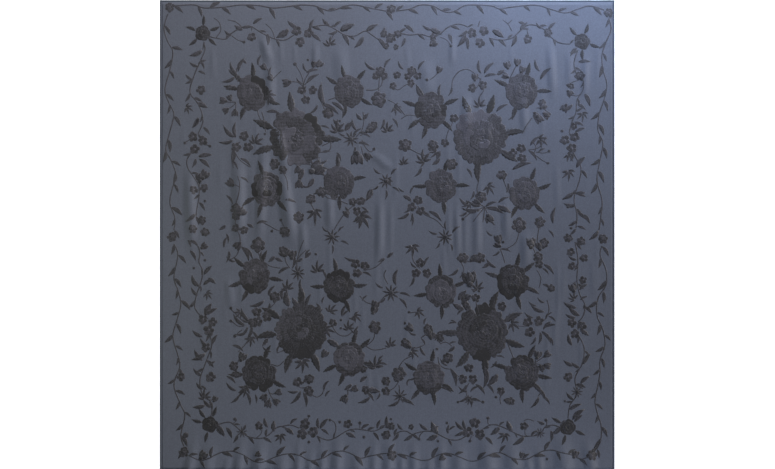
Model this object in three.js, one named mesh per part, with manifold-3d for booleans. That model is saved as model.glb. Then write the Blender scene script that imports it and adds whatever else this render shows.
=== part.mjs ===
import * as THREE from "three";
import { mergeVertices } from "three/addons/utils/BufferGeometryUtils.js";
import Module from "manifold-3d";

// A square silk shawl laid out flat, face up. Millimetres, +Z up, +Y towards its top edge.
// The origin is under the middle of the cloth, on the surface that it lies on.
const shawlWide = 1400;
const shawlLong = 1450;
const clothThick = 1.3;
const seamGap = 0.3;

// The edges are rolled over and whipped.
const hemWide = 5;
const hemHigh = 2.2;
const hemShoulder = 0.65;

// Embroidery stands on the cloth as low padded shapes.
const stitchLow = 0.8;
const stitchHigh = 1.3;

const leftEdge = -shawlWide / 2;
const bottomEdge = -shawlLong / 2;
const panelX = shawlWide / 2 - hemWide - seamGap;
const panelY = shawlLong / 2 - hemWide - seamGap;

// Soft folds in the field: a low ridge from its upper end to its lower end.
// half is half the ridge's width and high is its height.
const folds = [
  // left side, beside and below the upper left peony
  { from: [-618, 255], to: [-602, -62], half: 25, high: 3.8 },
  { from: [-458, 285], to: [-455, -72], half: 28, high: 7 },
  { from: [-376, 345], to: [-398, -78], half: 24, high: 5.8 },
  { from: [-342, 355], to: [-308, 180], half: 22, high: 5 },
  { from: [-326, 240], to: [-290, -52], half: 28, high: 7.6 },
  { from: [-490, -118], to: [-480, -238], half: 19, high: 3.2 },
  { from: [-260, 52], to: [-258, -64], half: 19, high: 3.2 },
  // along the top
  { from: [-384, 622], to: [-361, 520], half: 21, high: 5 },
  { from: [-362, 545], to: [-357, 370], half: 22, high: 4.6 },
  { from: [-220, 600], to: [-222, 508], half: 16, high: 3 },
  { from: [-146, 596], to: [-140, 452], half: 33, high: 3.6 },
  { from: [120, 552], to: [124, 420], half: 33, high: 3.6 },
  { from: [200, 612], to: [200, 520], half: 15, high: 3.2 },
  { from: [242, 446], to: [246, 300], half: 22, high: 4.2 },
  { from: [500, 614], to: [512, 402], half: 19, high: 4.6 },
  { from: [562, 584], to: [558, 452], half: 17, high: 3.2 },
  { from: [612, 570], to: [608, 410], half: 17, high: 4 },
  { from: [420, 424], to: [424, 312], half: 19, high: 4 },
  // middle
  { from: [-178, 152], to: [-176, 0], half: 19, high: 4.2 },
  { from: [-62, 268], to: [26, 192], half: 17, high: 3.2 },
  { from: [-22, 142], to: [-24, -102], half: 18, high: 4.2 },
  { from: [214, 120], to: [218, -96], half: 15, high: 3 },
  { from: [276, 122], to: [280, -92], half: 18, high: 3.4 },
  { from: [366, 134], to: [368, -34], half: 22, high: 4.2 },
  { from: [430, 28], to: [426, -116], half: 25, high: 4.4 },
];

// Ripples of the bottom edge: at is where one meets the edge, lean is how far it drifts sideways on its way
// up, run is how far up it reaches.
const ripples = [
  { at: -612, lean: 24, half: 22, high: 6.2, run: 118 },
  { at: -556, lean: 18, half: 28, high: 5.6, run: 104 },
  { at: -498, lean: 12, half: 15, high: 2.6, run: 62 },
  { at: -458, lean: 14, half: 22, high: 5.2, run: 126 },
  { at: -396, lean: 10, half: 30, high: 7, run: 140 },
  { at: -327, lean: 8, half: 28, high: 5.2, run: 96 },
  { at: -275, lean: 6, half: 18, high: 4.4, run: 118 },
  { at: -238, lean: 6, half: 17, high: 3.8, run: 82 },
  { at: -201, lean: 4, half: 19, high: 4.6, run: 108 },
  { at: -154, lean: 4, half: 25, high: 6, run: 146 },
  { at: -92, lean: 2, half: 29, high: 5, run: 92 },
  { at: -40, lean: 2, half: 20, high: 4.6, run: 122 },
  { at: 5, lean: 0, half: 23, high: 5.8, run: 132 },
  { at: 45, lean: 0, half: 17, high: 3.8, run: 78 },
  { at: 84, lean: -2, half: 21, high: 5.2, run: 112 },
  { at: 130, lean: -2, half: 17, high: 3.2, run: 68 },
  { at: 168, lean: -4, half: 20, high: 5.4, run: 136 },
  { at: 223, lean: -6, half: 31, high: 6.2, run: 116 },
  { at: 312, lean: -8, half: 38, high: 8, run: 150 },
  { at: 388, lean: -8, half: 34, high: 7.2, run: 128 },
  { at: 438, lean: -10, half: 16, high: 3.6, run: 74 },
  { at: 472, lean: -12, half: 18, high: 4.8, run: 98 },
  { at: 548, lean: -16, half: 40, high: 8.2, run: 144 },
  { at: 630, lean: -20, half: 27, high: 6.8, run: 126 },
];
const foldFade = 0.38; // share of a fold's length over which each end dies out

const smooth = (t) => t * t * (3 - 2 * t);
const clamp01 = (t) => Math.min(1, Math.max(0, t));
const hump = (offset) => (Math.abs(offset) < 1 ? 0.5 + 0.5 * Math.cos(Math.PI * offset) : 0);

// Where a ridge lies at the height y: its middle, its half width and its height there. It is null more than
// beyond past the ridge's ends, and flat between its ends and there.
function ridgeAt(ridge, y, beyond) {
  if (ridge.from) {
    const [fromX, fromY] = ridge.from;
    const [toX, toY] = ridge.to;
    if (y > fromY + beyond || y < toY - beyond) return null;
    const down = clamp01((fromY - y) / (fromY - toY));
    const grown = smooth(clamp01(Math.min(down, 1 - down) / foldFade));
    const slant = Math.hypot(toX - fromX, toY - fromY) / (fromY - toY);
    return { middle: fromX + (toX - fromX) * down, half: ridge.half * slant, high: ridge.high * grown };
  }
  if (y > bottomEdge + ridge.run + beyond) return null;
  const up = clamp01((y - bottomEdge) / ridge.run);
  return { middle: ridge.at + ridge.lean * up, half: ridge.half, high: ridge.high * smooth(1 - up) };
}

const ridgesAt = (y, beyond) => [...folds, ...ripples].map((ridge) => ridgeAt(ridge, y, beyond)).filter(Boolean);

// The cloth's underside above the surface that it lies on.
function liftAt(x, y) {
  return ridgesAt(y, 0).reduce((sum, ridge) => sum + ridge.high * hump((x - ridge.middle) / ridge.half), 0);
}

// Rows of points across the cloth, closer together at the rippled edge. Each row has points on the top,
// shoulders and feet of every ridge that it crosses, and a few more over the flat stretches.
const rippleSteps = [0, 16, 34, 54, 76, 100, 126, 156];
const rowStep = 46;
const rowReach = 30;
const flatStep = 110;
const nearest = 6.5;
const ridgeStations = [0, -1, 1, -0.5, 0.5];

function rowHeights() {
  const heights = rippleSteps.map((step) => -panelY + step);
  const start = heights[heights.length - 1];
  const count = Math.round((panelY - start) / rowStep);
  for (let i = 1; i <= count; i++) heights.push(start + ((panelY - start) * i) / count);
  return heights;
}

function rowAt(y) {
  const xs = [-panelX, panelX];
  const ridges = ridgesAt(y, rowReach);
  for (const station of ridgeStations) {
    for (const ridge of ridges) {
      if (ridge.high === 0 && Math.abs(station) < 1) continue;
      const x = ridge.middle + station * ridge.half;
      if (Math.abs(x) < panelX && xs.every((other) => Math.abs(other - x) > nearest)) xs.push(x);
    }
  }
  xs.sort((a, b) => a - b);
  const row = [];
  for (let i = 0; i + 1 < xs.length; i++) {
    const pieces = Math.ceil((xs[i + 1] - xs[i]) / flatStep);
    for (let k = 0; k < pieces; k++) row.push(xs[i] + ((xs[i + 1] - xs[i]) * k) / pieces);
  }
  row.push(panelX);
  return row.map((x) => ({ x, y, lift: liftAt(x, y) }));
}

const rows = rowHeights().map(rowAt);

// A closed wall over every row, between two heights above the cloth's underside.
function wallOver(low, high) {
  const points = [];
  const faces = [];
  const first = [];
  for (const row of rows) {
    first.push(points.length / 6);
    for (const { x, y, lift } of row) points.push(x, y, lift + low, x, y, lift + high);
  }
  const under = (r, i) => 2 * (first[r] + i);
  const over = (r, i) => under(r, i) + 1;
  const side = (r, i, s, j) => {
    faces.push(under(r, i), under(s, j), over(s, j), under(r, i), over(s, j), over(r, i));
  };
  for (let r = 0; r + 1 < rows.length; r++) {
    const near = rows[r];
    const far = rows[r + 1];
    let i = 0;
    let j = 0;
    while (i + 1 < near.length || j + 1 < far.length) {
      const nearTurn = j + 1 === far.length || (i + 1 < near.length && near[i + 1].x <= far[j + 1].x);
      if (nearTurn) {
        faces.push(over(r, i), over(r, i + 1), over(r + 1, j), under(r, i), under(r + 1, j), under(r, i + 1));
        i += 1;
      } else {
        faces.push(over(r, i), over(r + 1, j + 1), over(r + 1, j));
        faces.push(under(r, i), under(r + 1, j), under(r + 1, j + 1));
        j += 1;
      }
    }
    side(r + 1, 0, r, 0);
    side(r, near.length - 1, r + 1, far.length - 1);
  }
  const top = rows.length - 1;
  for (let i = 0; i + 1 < rows[0].length; i++) side(0, i, 0, i + 1);
  for (let i = 0; i + 1 < rows[top].length; i++) side(top, i + 1, top, i);
  return geometryFrom(points, faces);
}

function geometryFrom(points, faces) {
  const geometry = new THREE.BufferGeometry();
  geometry.setAttribute("position", new THREE.Float32BufferAttribute(points, 3));
  geometry.setIndex(faces);
  geometry.computeVertexNormals();
  return geometry;
}

// A rolled edge: a ridged section of five points, carried along the edge's own stations. place says where a
// point lies that is across millimetres in from the section's start.
function rolledHem(stations, place) {
  const section = [
    [0, 0],
    [1, 0],
    [1, hemShoulder],
    [0.5, 1],
    [0, hemShoulder],
  ];
  const round = section.length;
  const points = [];
  const faces = [];
  for (const station of stations) {
    for (const [across, up] of section) {
      const { x, y } = place(station, across * hemWide);
      points.push(x, y, station.lift + up * hemHigh);
    }
  }
  for (let s = 0; s + 1 < stations.length; s++) {
    for (let k = 0; k < round; k++) {
      const a = s * round + k;
      const b = s * round + ((k + 1) % round);
      faces.push(a, b, b + round, a, b + round, a + round);
    }
  }
  const last = (stations.length - 1) * round;
  for (let k = 1; k + 1 < round; k++) {
    faces.push(0, k + 1, k, last, last + k, last + k + 1);
  }
  return geometryFrom(points, faces);
}

// The side hems run the whole length, and the top and bottom hems lie between them. They keep the lift of
// each row's first or last point.
function sideStations(endOf) {
  const ends = rows.map(endOf);
  const foot = { y: bottomEdge, lift: ends[0].lift };
  const head = { y: -bottomEdge, lift: ends[ends.length - 1].lift };
  return [foot, ...ends, head];
}

// Silk embroidery colours and cloth colours as seen in even light.
const clothColour = 0x565b6b;
const hemColour = 0x4c505e;
const flossColour = 0x3f3d40;
const flossDeepColour = 0x37353a;

// Embroidered flowers: x and y of the middle, the radius, and the directions in degrees of the leaves round it.
const peonies = {
  upper_left: { x: -281, y: 303, radius: 78, leaves: [98, 158, 202, 357] },
  upper_right: { x: 286, y: 303, radius: 76, leaves: [7, 72, 113, 268, 327] },
  lower_left: { x: -266, y: -292, radius: 77, leaves: [91, 148, 186, 250, 289] },
  lower_right: { x: 295, y: -298, radius: 75, leaves: [26, 69, 119, 179, 237, 272, 341] },
};
const roses = {
  upper_left_1: { x: -414, y: 441, radius: 46, leaves: [92, 137, 168, 246, 337] },
  upper_left_2: { x: -118, y: 444, radius: 42, leaves: [52, 105, 147, 256, 330] },
  upper_left_3: { x: -370, y: 143, radius: 46, leaves: [108, 215, 252, 312] },
  upper_left_4: { x: -149, y: 164, radius: 43, leaves: [10, 94, 205, 272] },
  upper_right_1: { x: 135, y: 386, radius: 46, leaves: [23, 120, 162, 220, 252, 315] },
  upper_right_2: { x: 415, y: 444, radius: 46, leaves: [0, 75, 157, 251] },
  upper_right_3: { x: 166, y: 152, radius: 44, leaves: [0, 75, 180, 277] },
  upper_right_4: { x: 424, y: 130, radius: 43, leaves: [21, 68, 241, 315] },
  lower_left_1: { x: -407, y: -125, radius: 44, leaves: [65, 138, 201, 242, 351] },
  lower_left_2: { x: -149, y: -156, radius: 44, leaves: [4, 101, 180, 293] },
  lower_left_3: { x: -395, y: -424, radius: 47, leaves: [67, 182, 230, 333] },
  lower_left_4: { x: -118, y: -378, radius: 45, leaves: [43, 72, 208, 249, 342] },
  lower_right_1: { x: 166, y: -172, radius: 43, leaves: [22, 94, 189, 270] },
  lower_right_2: { x: 387, y: -141, radius: 45, leaves: [41, 78, 162, 286, 334] },
  lower_right_3: { x: 129, y: -436, radius: 44, leaves: [81, 149, 231, 281, 329] },
  lower_right_4: { x: 415, y: -421, radius: 47, leaves: [64, 165, 272, 315, 349] },
};
const cornerFlowers = {
  top_left: { x: -568, y: 623, radius: 25, leaves: [22, 87, 160, 221, 318] },
  top_right: { x: 600, y: 598, radius: 26, leaves: [72, 131, 232, 273, 342] },
  bottom_left: { x: -546, y: -581, radius: 26, leaves: [70, 125, 165, 255, 320] },
  bottom_right: { x: 557, y: -590, radius: 26, leaves: [40, 150, 200, 250, 335] },
};
const peonyLobes = 12;
const roseLobes = 7;
const cornerLobes = 5;
const lobeDepth = 0.1;
const heartShare = 0.55;
const heartLobes = 5;

// Leaves reach out to reach times the flower's radius and are half times the radius on each side of their rib.
const peonyLeaf = { reach: 1.85, half: 0.13 };
const roseLeaf = { reach: 2.05, half: 0.2 };
const cornerLeaf = { reach: 2.3, half: 0.3 };

// A scalloped disc outline. Each lobe has a notch and then one or two points on its crown.
const broadLobe = [1 - lobeDepth, 0.98, 1];
const plainLobe = [1 - lobeDepth, 1];

function scallops({ x, y, radius }, lobes, shares) {
  const outline = [];
  for (let k = 0; k < lobes * shares.length; k++) {
    const turn = (2 * Math.PI * k) / (lobes * shares.length);
    const reach = radius * shares[k % shares.length];
    outline.push(new THREE.Vector2(x + reach * Math.cos(turn), y + reach * Math.sin(turn)));
  }
  return outline;
}

// A pointed leaf that starts under the flower's rim.
const leafRoot = 0.7;

function leafOutline({ x, y, radius }, leaf, degrees) {
  const root = leafRoot * radius;
  const length = leaf.reach * radius - root;
  const half = leaf.half * radius;
  const spine = [
    [0, 0.5],
    [0.45, 1],
    [1, 0],
    [0.45, -1],
    [0, -0.5],
  ];
  const turn = THREE.MathUtils.degToRad(degrees);
  const origin = new THREE.Vector2(x, y);
  return spine
    .map(([along, across]) => new THREE.Vector2(x + root + along * length, y + across * half))
    .map((point) => point.rotateAround(origin, turn))
    .reverse();
}

const wasm = await Module();
wasm.setup();

function solidFrom(geometry) {
  const bare = geometry.clone();
  bare.deleteAttribute("normal");
  if (bare.attributes.uv) bare.deleteAttribute("uv");
  const merged = mergeVertices(bare);
  const vertProperties = new Float32Array(merged.attributes.position.array);
  const triVerts = new Uint32Array(merged.index.array);
  return new wasm.Manifold(new wasm.Mesh({ numProp: 3, vertProperties, triVerts }));
}

function geometryOf(solid) {
  const mesh = solid.getMesh();
  return geometryFrom(Array.from(mesh.vertProperties), Array.from(mesh.triVerts));
}

const prismLow = -2;
const prismHigh = 40;

function prism(outline) {
  const geometry = new THREE.ExtrudeGeometry(new THREE.Shape(outline), {
    depth: prismHigh - prismLow,
    bevelEnabled: false,
  });
  geometry.translate(0, 0, prismLow);
  return solidFrom(geometry);
}

// The stitched layers follow the cloth's own points, a seam gap above its face.
const stitchFoot = clothThick + seamGap;
const lowLayer = solidFrom(wallOver(stitchFoot, stitchFoot + stitchLow));
const highLayer = solidFrom(wallOver(stitchFoot, stitchFoot + stitchHigh));

function embroidered(flower, lobes, leaf) {
  let plan = prism(scallops(flower, lobes, broadLobe));
  for (const degrees of flower.leaves) plan = plan.add(prism(leafOutline(flower, leaf, degrees)));
  const heart = prism(scallops({ ...flower, radius: heartShare * flower.radius }, heartLobes, plainLobe));
  return geometryOf(lowLayer.intersect(plan).add(highLayer.intersect(heart)));
}

const shawl = new THREE.Group();

function addPiece(name, geometry, color, roughness) {
  const mesh = new THREE.Mesh(geometry, new THREE.MeshStandardMaterial({ color, roughness, metalness: 0 }));
  mesh.name = name;
  shawl.add(mesh);
}

addPiece("shawl_panel", wallOver(0, clothThick), clothColour, 0.55);

const bottomPlace = ({ x }, across) => ({ x, y: bottomEdge + across });
const topPlace = ({ x }, across) => ({ x, y: -bottomEdge - hemWide + across });
const leftPlace = ({ y }, across) => ({ x: leftEdge + hemWide - across, y });
const rightPlace = ({ y }, across) => ({ x: -leftEdge - across, y });
addPiece("hem_bottom", rolledHem(rows[0], bottomPlace), hemColour, 0.6);
addPiece("hem_top", rolledHem(rows[rows.length - 1], topPlace), hemColour, 0.6);
addPiece("hem_left", rolledHem(sideStations((row) => row[0]), leftPlace), hemColour, 0.6);
addPiece("hem_right", rolledHem(sideStations((row) => row[row.length - 1]), rightPlace), hemColour, 0.6);

for (const [place, flower] of Object.entries(peonies)) {
  addPiece(`peony_${place}`, embroidered(flower, peonyLobes, peonyLeaf), flossColour, 0.45);
}
for (const [place, flower] of Object.entries(roses)) {
  addPiece(`rose_${place}`, embroidered(flower, roseLobes, roseLeaf), flossDeepColour, 0.45);
}
for (const [place, flower] of Object.entries(cornerFlowers)) {
  addPiece(`corner_flower_${place}`, embroidered(flower, cornerLobes, cornerLeaf), flossDeepColour, 0.45);
}

export default shawl;
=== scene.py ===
import math
import random

import bpy
import numpy as np
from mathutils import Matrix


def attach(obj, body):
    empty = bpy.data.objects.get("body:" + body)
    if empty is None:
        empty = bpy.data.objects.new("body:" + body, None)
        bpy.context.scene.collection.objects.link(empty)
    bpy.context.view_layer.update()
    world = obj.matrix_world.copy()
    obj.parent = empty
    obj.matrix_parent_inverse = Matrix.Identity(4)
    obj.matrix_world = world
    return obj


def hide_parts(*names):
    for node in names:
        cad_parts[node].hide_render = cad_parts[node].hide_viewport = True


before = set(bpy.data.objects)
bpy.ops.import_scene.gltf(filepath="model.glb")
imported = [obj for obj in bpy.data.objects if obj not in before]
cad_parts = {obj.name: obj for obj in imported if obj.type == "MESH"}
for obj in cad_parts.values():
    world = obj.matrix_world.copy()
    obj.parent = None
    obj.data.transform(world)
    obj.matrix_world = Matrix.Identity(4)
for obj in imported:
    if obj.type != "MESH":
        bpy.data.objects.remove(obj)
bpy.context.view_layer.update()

# A square silk shawl laid out flat, face up, embroidered all over in tonal silk. Metres, +Z up, +Y to the
# top edge. Sizes of the cloth and of its folds are written in millimetres, as in the part's own source.
mm = 0.001
shawl_wide = 1400 * mm
shawl_long = 1450 * mm
cloth_thick = 1.3 * mm
hem_wide = 5 * mm
hem_high = 2.2 * mm
seam_gap = 0.3 * mm
bottom_edge = -shawl_long / 2
panel_x = shawl_wide / 2 - hem_wide - seam_gap
panel_y = shawl_long / 2 - hem_wide - seam_gap

# The photograph looks straight down. One of its pixels is this much cloth. origin_px lies over the origin.
pixel = 3.08 * mm
origin_px = (387.2, 235.6)
photo_wide_px = 775
photo_middle_px = (387.5, 234.5)


def on_cloth(px, py):
    """Where a pixel of the photograph lies on the cloth."""
    return ((px - origin_px[0]) * pixel, (origin_px[1] - py) * pixel)


# Soft folds: from_x, from_y, to_x, to_y, half the ridge's width, its height, in millimetres
folds = [
    # left side, beside and below the upper left peony
    (-610, 240, -600, -72, 24, 6.4),
    (-458, 285, -455, -72, 28, 7),
    (-376, 345, -398, -78, 24, 5.8),
    (-342, 355, -308, 180, 22, 5),
    (-326, 240, -290, -52, 28, 7.6),
    (-490, -118, -480, -238, 19, 3.2),
    (-260, 52, -258, -64, 19, 3.2),
    # along the top
    (-384, 622, -361, 520, 21, 5),
    (-362, 545, -357, 370, 22, 4.6),
    (-220, 600, -222, 508, 16, 3),
    (-146, 596, -140, 452, 33, 3.6),
    (120, 552, 124, 420, 33, 3.6),
    (200, 612, 200, 520, 15, 3.2),
    (242, 446, 246, 300, 22, 4.2),
    (500, 614, 512, 402, 19, 4.6),
    (562, 584, 558, 452, 17, 3.2),
    (612, 570, 608, 410, 17, 4),
    (420, 424, 424, 312, 19, 4),
    # middle
    (-178, 152, -176, 0, 19, 4.2),
    (-62, 268, 26, 192, 17, 3.2),
    (-22, 142, -24, -102, 18, 4.2),
    (214, 120, 218, -96, 15, 3),
    (276, 122, 280, -92, 18, 3.4),
    (366, 134, 368, -34, 22, 4.2),
    (430, 28, 426, -116, 25, 4.4),
]

# Fine creases between the folds, in the same columns
creases = [
    (190, 118, 191, -91, 12, 1.8),
    (242, 116, 240, -90, 12, 1.7),
    (-329, 608, -325, 522, 10, 1.5),
    (-286, 594, -283, 528, 10, 1.5),
    (650, 594, 646, 455, 12, 1.6),
    (-448, -138, -446, -224, 11, 1.5),
    (290, 182, 286, 96, 10, 1.4),
    (12, 126, 10, -80, 12, 1.6),
    (-540, 590, -534, 470, 14, 1.4),
    (60, 600, 66, 500, 13, 1.2),
    (380, 600, 386, 508, 12, 1.3),
    (-90, 330, -84, 220, 12, 1.2),
    (520, 250, 526, 60, 14, 1.5),
    (-556, -180, -548, -330, 13, 1.3),
    (-210, -120, -204, -230, 11, 1.2),
    (60, -220, 64, -352, 12, 1.1),
    (520, -210, 514, -380, 15, 1.4),
    (-30, -420, -26, -520, 12, 1.1),
]

# Ripples of the bottom edge: at, lean, half the width, height, how far up it runs, in millimetres
ripples = [
    (-612, 24, 22, 6.2, 118),
    (-556, 18, 28, 5.6, 104),
    (-498, 12, 15, 2.6, 62),
    (-458, 14, 22, 5.2, 126),
    (-396, 10, 30, 7, 140),
    (-327, 8, 28, 5.2, 96),
    (-275, 6, 18, 4.4, 118),
    (-238, 6, 17, 3.8, 82),
    (-201, 4, 19, 4.6, 108),
    (-154, 4, 25, 6, 146),
    (-92, 2, 29, 5, 92),
    (-40, 2, 20, 4.6, 122),
    (5, 0, 23, 5.8, 132),
    (45, 0, 17, 3.8, 78),
    (84, -2, 21, 5.2, 112),
    (130, -2, 17, 3.2, 68),
    (168, -4, 20, 5.4, 136),
    (223, -6, 31, 6.2, 116),
    (312, -8, 38, 8, 150),
    (388, -8, 34, 7.2, 128),
    (438, -10, 16, 3.6, 74),
    (472, -12, 18, 4.8, 98),
    (548, -16, 40, 8.2, 144),
    (630, -20, 27, 6.8, 126),
]
# A fold rises to its full height over this share of its length, at each end.
fold_fade = 0.38


def faint_creases(count=64, reach=655):
    """Creases all over the field, too low for the solids."""
    chance = random.Random(31)
    rows = []
    for k in range(count):
        x = -reach + 2 * reach * (k + chance.uniform(0.1, 0.9)) / count
        top = chance.uniform(-380, 600)
        end = max(-560, top - chance.uniform(90, 290))
        slant = chance.uniform(-8, 8)
        rows.append((x, top, x + slant, end, chance.uniform(9, 15), chance.uniform(0.5, 1.3)))
    return rows


creases += faint_creases()


def smooth(t):
    return t * t * (3 - 2 * t)


def hump(offset):
    return np.where(np.abs(offset) < 1, 0.5 + 0.5 * np.cos(math.pi * np.clip(offset, -1, 1)), 0)


def fold_height(x, y, fold):
    from_x, from_y, to_x, to_y, half, high = (value * mm for value in fold)
    down = (from_y - y) / (from_y - to_y)
    grown = smooth(np.clip(np.minimum(down, 1 - down) / fold_fade, 0, 1))
    slant = math.hypot(to_x - from_x, to_y - from_y) / (from_y - to_y)
    middle = from_x + (to_x - from_x) * down
    return high * grown * hump((x - middle) / (half * slant))


def ripple_height(x, y, ripple):
    at, lean, half, high, run = (value * mm for value in ripple)
    up = np.clip((y - bottom_edge) / run, 0, 1)
    return high * smooth(1 - up) * hump((x - at - lean * up) / half)


def lift(x, y):
    """Height of the cloth's underside above the surface that it lies on."""
    total = sum(fold_height(x, y, fold) for fold in folds + creases)
    return total + sum(ripple_height(x, y, ripple) for ripple in ripples)


# Node trees written as expressions
class Wire:
    """An output socket that takes part in sums. Every operation adds its Math node."""

    def __init__(self, tree, socket):
        self.tree = tree
        self.socket = socket

    def __add__(self, other):
        return self.tree.math("ADD", self, other)

    def __radd__(self, other):
        return self.tree.math("ADD", other, self)

    def __sub__(self, other):
        return self.tree.math("SUBTRACT", self, other)

    def __rsub__(self, other):
        return self.tree.math("SUBTRACT", other, self)

    def __mul__(self, other):
        return self.tree.math("MULTIPLY", self, other)

    def __rmul__(self, other):
        return self.tree.math("MULTIPLY", other, self)

    def sine(self):
        return self.tree.math("SINE", self)

    def clamped(self):
        return self.tree.node("ShaderNodeClamp", {"Value": self})

    def beside(self, name):
        """Another output of the same node."""
        return Wire(self.tree, self.socket.node.outputs[name])


class Tree:
    """A node tree under construction."""

    def __init__(self, node_tree):
        self.node_tree = node_tree

    def node(self, kind, sockets=None, out=0, **settings):
        """A node, its settings, then the values or links of its sockets. Links in a list share a socket."""
        made = self.node_tree.nodes.new(kind)
        for name, value in settings.items():
            setattr(made, name, value)
        for key, value in (sockets or {}).items():
            for link in value if isinstance(value, list) else [value]:
                if isinstance(link, Wire):
                    self.node_tree.links.new(link.socket, made.inputs[key])
                else:
                    made.inputs[key].default_value = link
        return Wire(self, made.outputs[out]) if made.outputs else None

    def math(self, operation, first, second=None):
        sockets = {0: first} if second is None else {0: first, 1: second}
        return self.node("ShaderNodeMath", sockets, operation=operation)

    def mixed(self, factor, low, high):
        """A colour between two others."""
        return self.node("ShaderNodeMix", {0: factor, 6: (*low, 1), 7: (*high, 1)}, 2, data_type="RGBA")

    def joined(self, x=0.0, y=0.0, z=0.0):
        return self.node("ShaderNodeCombineXYZ", {"X": x, "Y": y, "Z": z})

    def split(self, vector):
        """The x of a vector, with its y and z beside it."""
        return self.node("ShaderNodeSeparateXYZ", {"Vector": vector})


# Finishes
def new_material(name):
    """A material, its tree and the object coordinates."""
    material = bpy.data.materials.new(name)
    material.use_nodes = True
    material.node_tree.nodes.clear()
    tree = Tree(material.node_tree)
    return material, tree, tree.node("ShaderNodeTexCoord").beside("Object")


def close_material(tree, sockets):
    shader = tree.node("ShaderNodeBsdfPrincipled", sockets)
    tree.node("ShaderNodeOutputMaterial", {"Surface": shader})


def close_silk(tree, colour, rough, height, relief, sheen, tint, shine):
    """relief is the strength and depth of the bump, and sheen its weight and roughness."""
    bump = tree.node("ShaderNodeBump", {"Strength": relief[0], "Distance": relief[1], "Height": height})
    sockets = {"Base Color": colour, "Roughness": rough.clamped(), "Normal": bump}
    sockets.update({"Sheen Weight": sheen[0], "Sheen Roughness": sheen[1], "Sheen Tint": (*tint, 1)})
    close_material(tree, {**sockets, "Specular IOR Level": shine})


def noise(tree, place, scale, detail=2.0):
    return tree.node("ShaderNodeTexNoise", {"Vector": place, "Scale": scale, "Detail": detail})


def streaky(tree, place, scale):
    """Noise drawn out along an axis."""
    return noise(tree, tree.node("ShaderNodeMapping", {"Vector": place, "Scale": scale}), 1.0, 3.0)


def point_number(tree, name):
    return tree.node("ShaderNodeAttribute", out="Fac", attribute_name=name)


def rounds(length, pitch):
    """A length as an angle that comes round once in each pitch."""
    return length * (2 * math.pi / pitch)


yarn_pitch = 0.7 * mm
crepe_dark = (0.0695, 0.0735, 0.086)
crepe_light = (0.0998, 0.1068, 0.1265)
cool_sheen = (0.62, 0.72, 1.0)
floss_sheen = (0.8, 0.8, 0.9)


def silk_crepe():
    """Dull-faced silk with a fine upright rib and a pebbled crepe grain."""
    material, tree, place = new_material("silk_crepe")
    x = tree.split(place)
    streaks = streaky(tree, place, (260, 9, 1))
    clouds = streaky(tree, place, (5, 2.4, 1))
    pebble = noise(tree, place, 950.0)
    grain = noise(tree, place, 300.0, 1.0)
    weave = rounds(x, yarn_pitch).sine() * rounds(x.beside("Y"), yarn_pitch).sine() * 0.5 + 0.5
    tone = streaks * 0.45 + clouds * 0.35 + pebble * 0.1 + weave * 0.06 + (grain - 0.45) * 1.2
    colour = tree.mixed(tone.clamped(), crepe_dark, crepe_light)
    height = weave * 0.35 + pebble * 0.6 + streaks * 0.5
    rough = 0.5 + streaks * 0.12 + pebble * 0.06
    close_silk(tree, colour, rough, height, (0.35, 0.3 * mm), (0.25, 0.45), cool_sheen, 0.35)
    return material


strand_pitch = 0.9 * mm
row_pitch = 9 * mm


def silk_floss(slot, dark, light):
    """Untwisted silk in satin stitch. Threads run along each shape and are laid in short rows."""
    material, tree, place = new_material(slot)
    tone, strand, row = (point_number(tree, name) for name in ("tone", "strand", "row"))
    streak = noise(tree, tree.joined(strand * 330, row * 45, tone * 9), 1.0, 3.0)
    wander = noise(tree, place, 60.0)
    fibre = noise(tree, place, 700.0)
    grain = noise(tree, place, 300.0, 1.0)
    threads = (rounds(strand, strand_pitch) + wander * 5).sine() * 0.5 + 0.5
    stops = (rounds(row, row_pitch) + wander * 7).sine() * 0.5 + 0.5
    level = tone * 1.05 - 0.1 + (streak - 0.5) * 0.9 + (threads - 0.5) * 0.1 + (stops - 0.5) * 0.22
    level = level + (wander - 0.5) * 0.35 + (fibre - 0.5) * 0.2 + (grain - 0.5) * 1.2
    # The tone on the points is partly the floss's own unevenness and partly painted sheen, highlight and
    # shade.
    colour = tree.mixed(level.clamped(), dark, light)
    height = threads * 0.6 + stops * 0.5 + fibre * 0.3
    rough = 0.42 + fibre * 0.14 + stops * 0.06
    close_silk(tree, colour, rough, height, (0.5, 0.3 * mm), (0.2, 0.4), floss_sheen, 0.4)
    return material


def hem_silk():
    """The same crepe rolled tight and whipped in its own colour."""
    material, tree, place = new_material("rolled_hem")
    twist = noise(tree, place, 420.0, 3.0)
    rub = noise(tree, place, 14.0)
    colour = tree.mixed((twist * 0.6 + rub * 0.4).clamped(), (0.046, 0.051, 0.062), (0.096, 0.104, 0.128))
    close_silk(tree, colour, 0.5 + rub * 0.15, twist, (0.4, 0.2 * mm), (0.1, 0.5), cool_sheen, 0.2)
    return material


crepe = silk_crepe()
hem_finish = hem_silk()
# Floss from a warm dark end to a cooler light end; the cooler light end gives the painted sheen and
# highlights their bluish colour.
floss = {
    "peony_silk": silk_floss("peony_silk", (0.019, 0.0174, 0.0164), (0.074, 0.0705, 0.081)),
    "rose_silk": silk_floss("rose_silk", (0.0165, 0.0149, 0.014), (0.069, 0.0655, 0.075)),
}


# Meshes
def new_linked(name, data):
    made = bpy.data.objects.new(name, data)
    bpy.context.scene.collection.objects.link(made)
    return made


def new_object(name, points, faces, edges=()):
    mesh = bpy.data.meshes.new(name)
    mesh.from_pydata(points, edges, faces)
    return new_linked(name, mesh)


def shade_smooth(piece):
    piece.data.polygons.foreach_set("use_smooth", [True] * len(piece.data.polygons))


def mark_points(piece, name, values):
    attribute = piece.data.attributes.new(name, "FLOAT", "POINT")
    attribute.data.foreach_set("value", [float(value) for value in values])


cloth_columns = 276
cloth_rows = 158
row_crowding = 0.16


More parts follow.
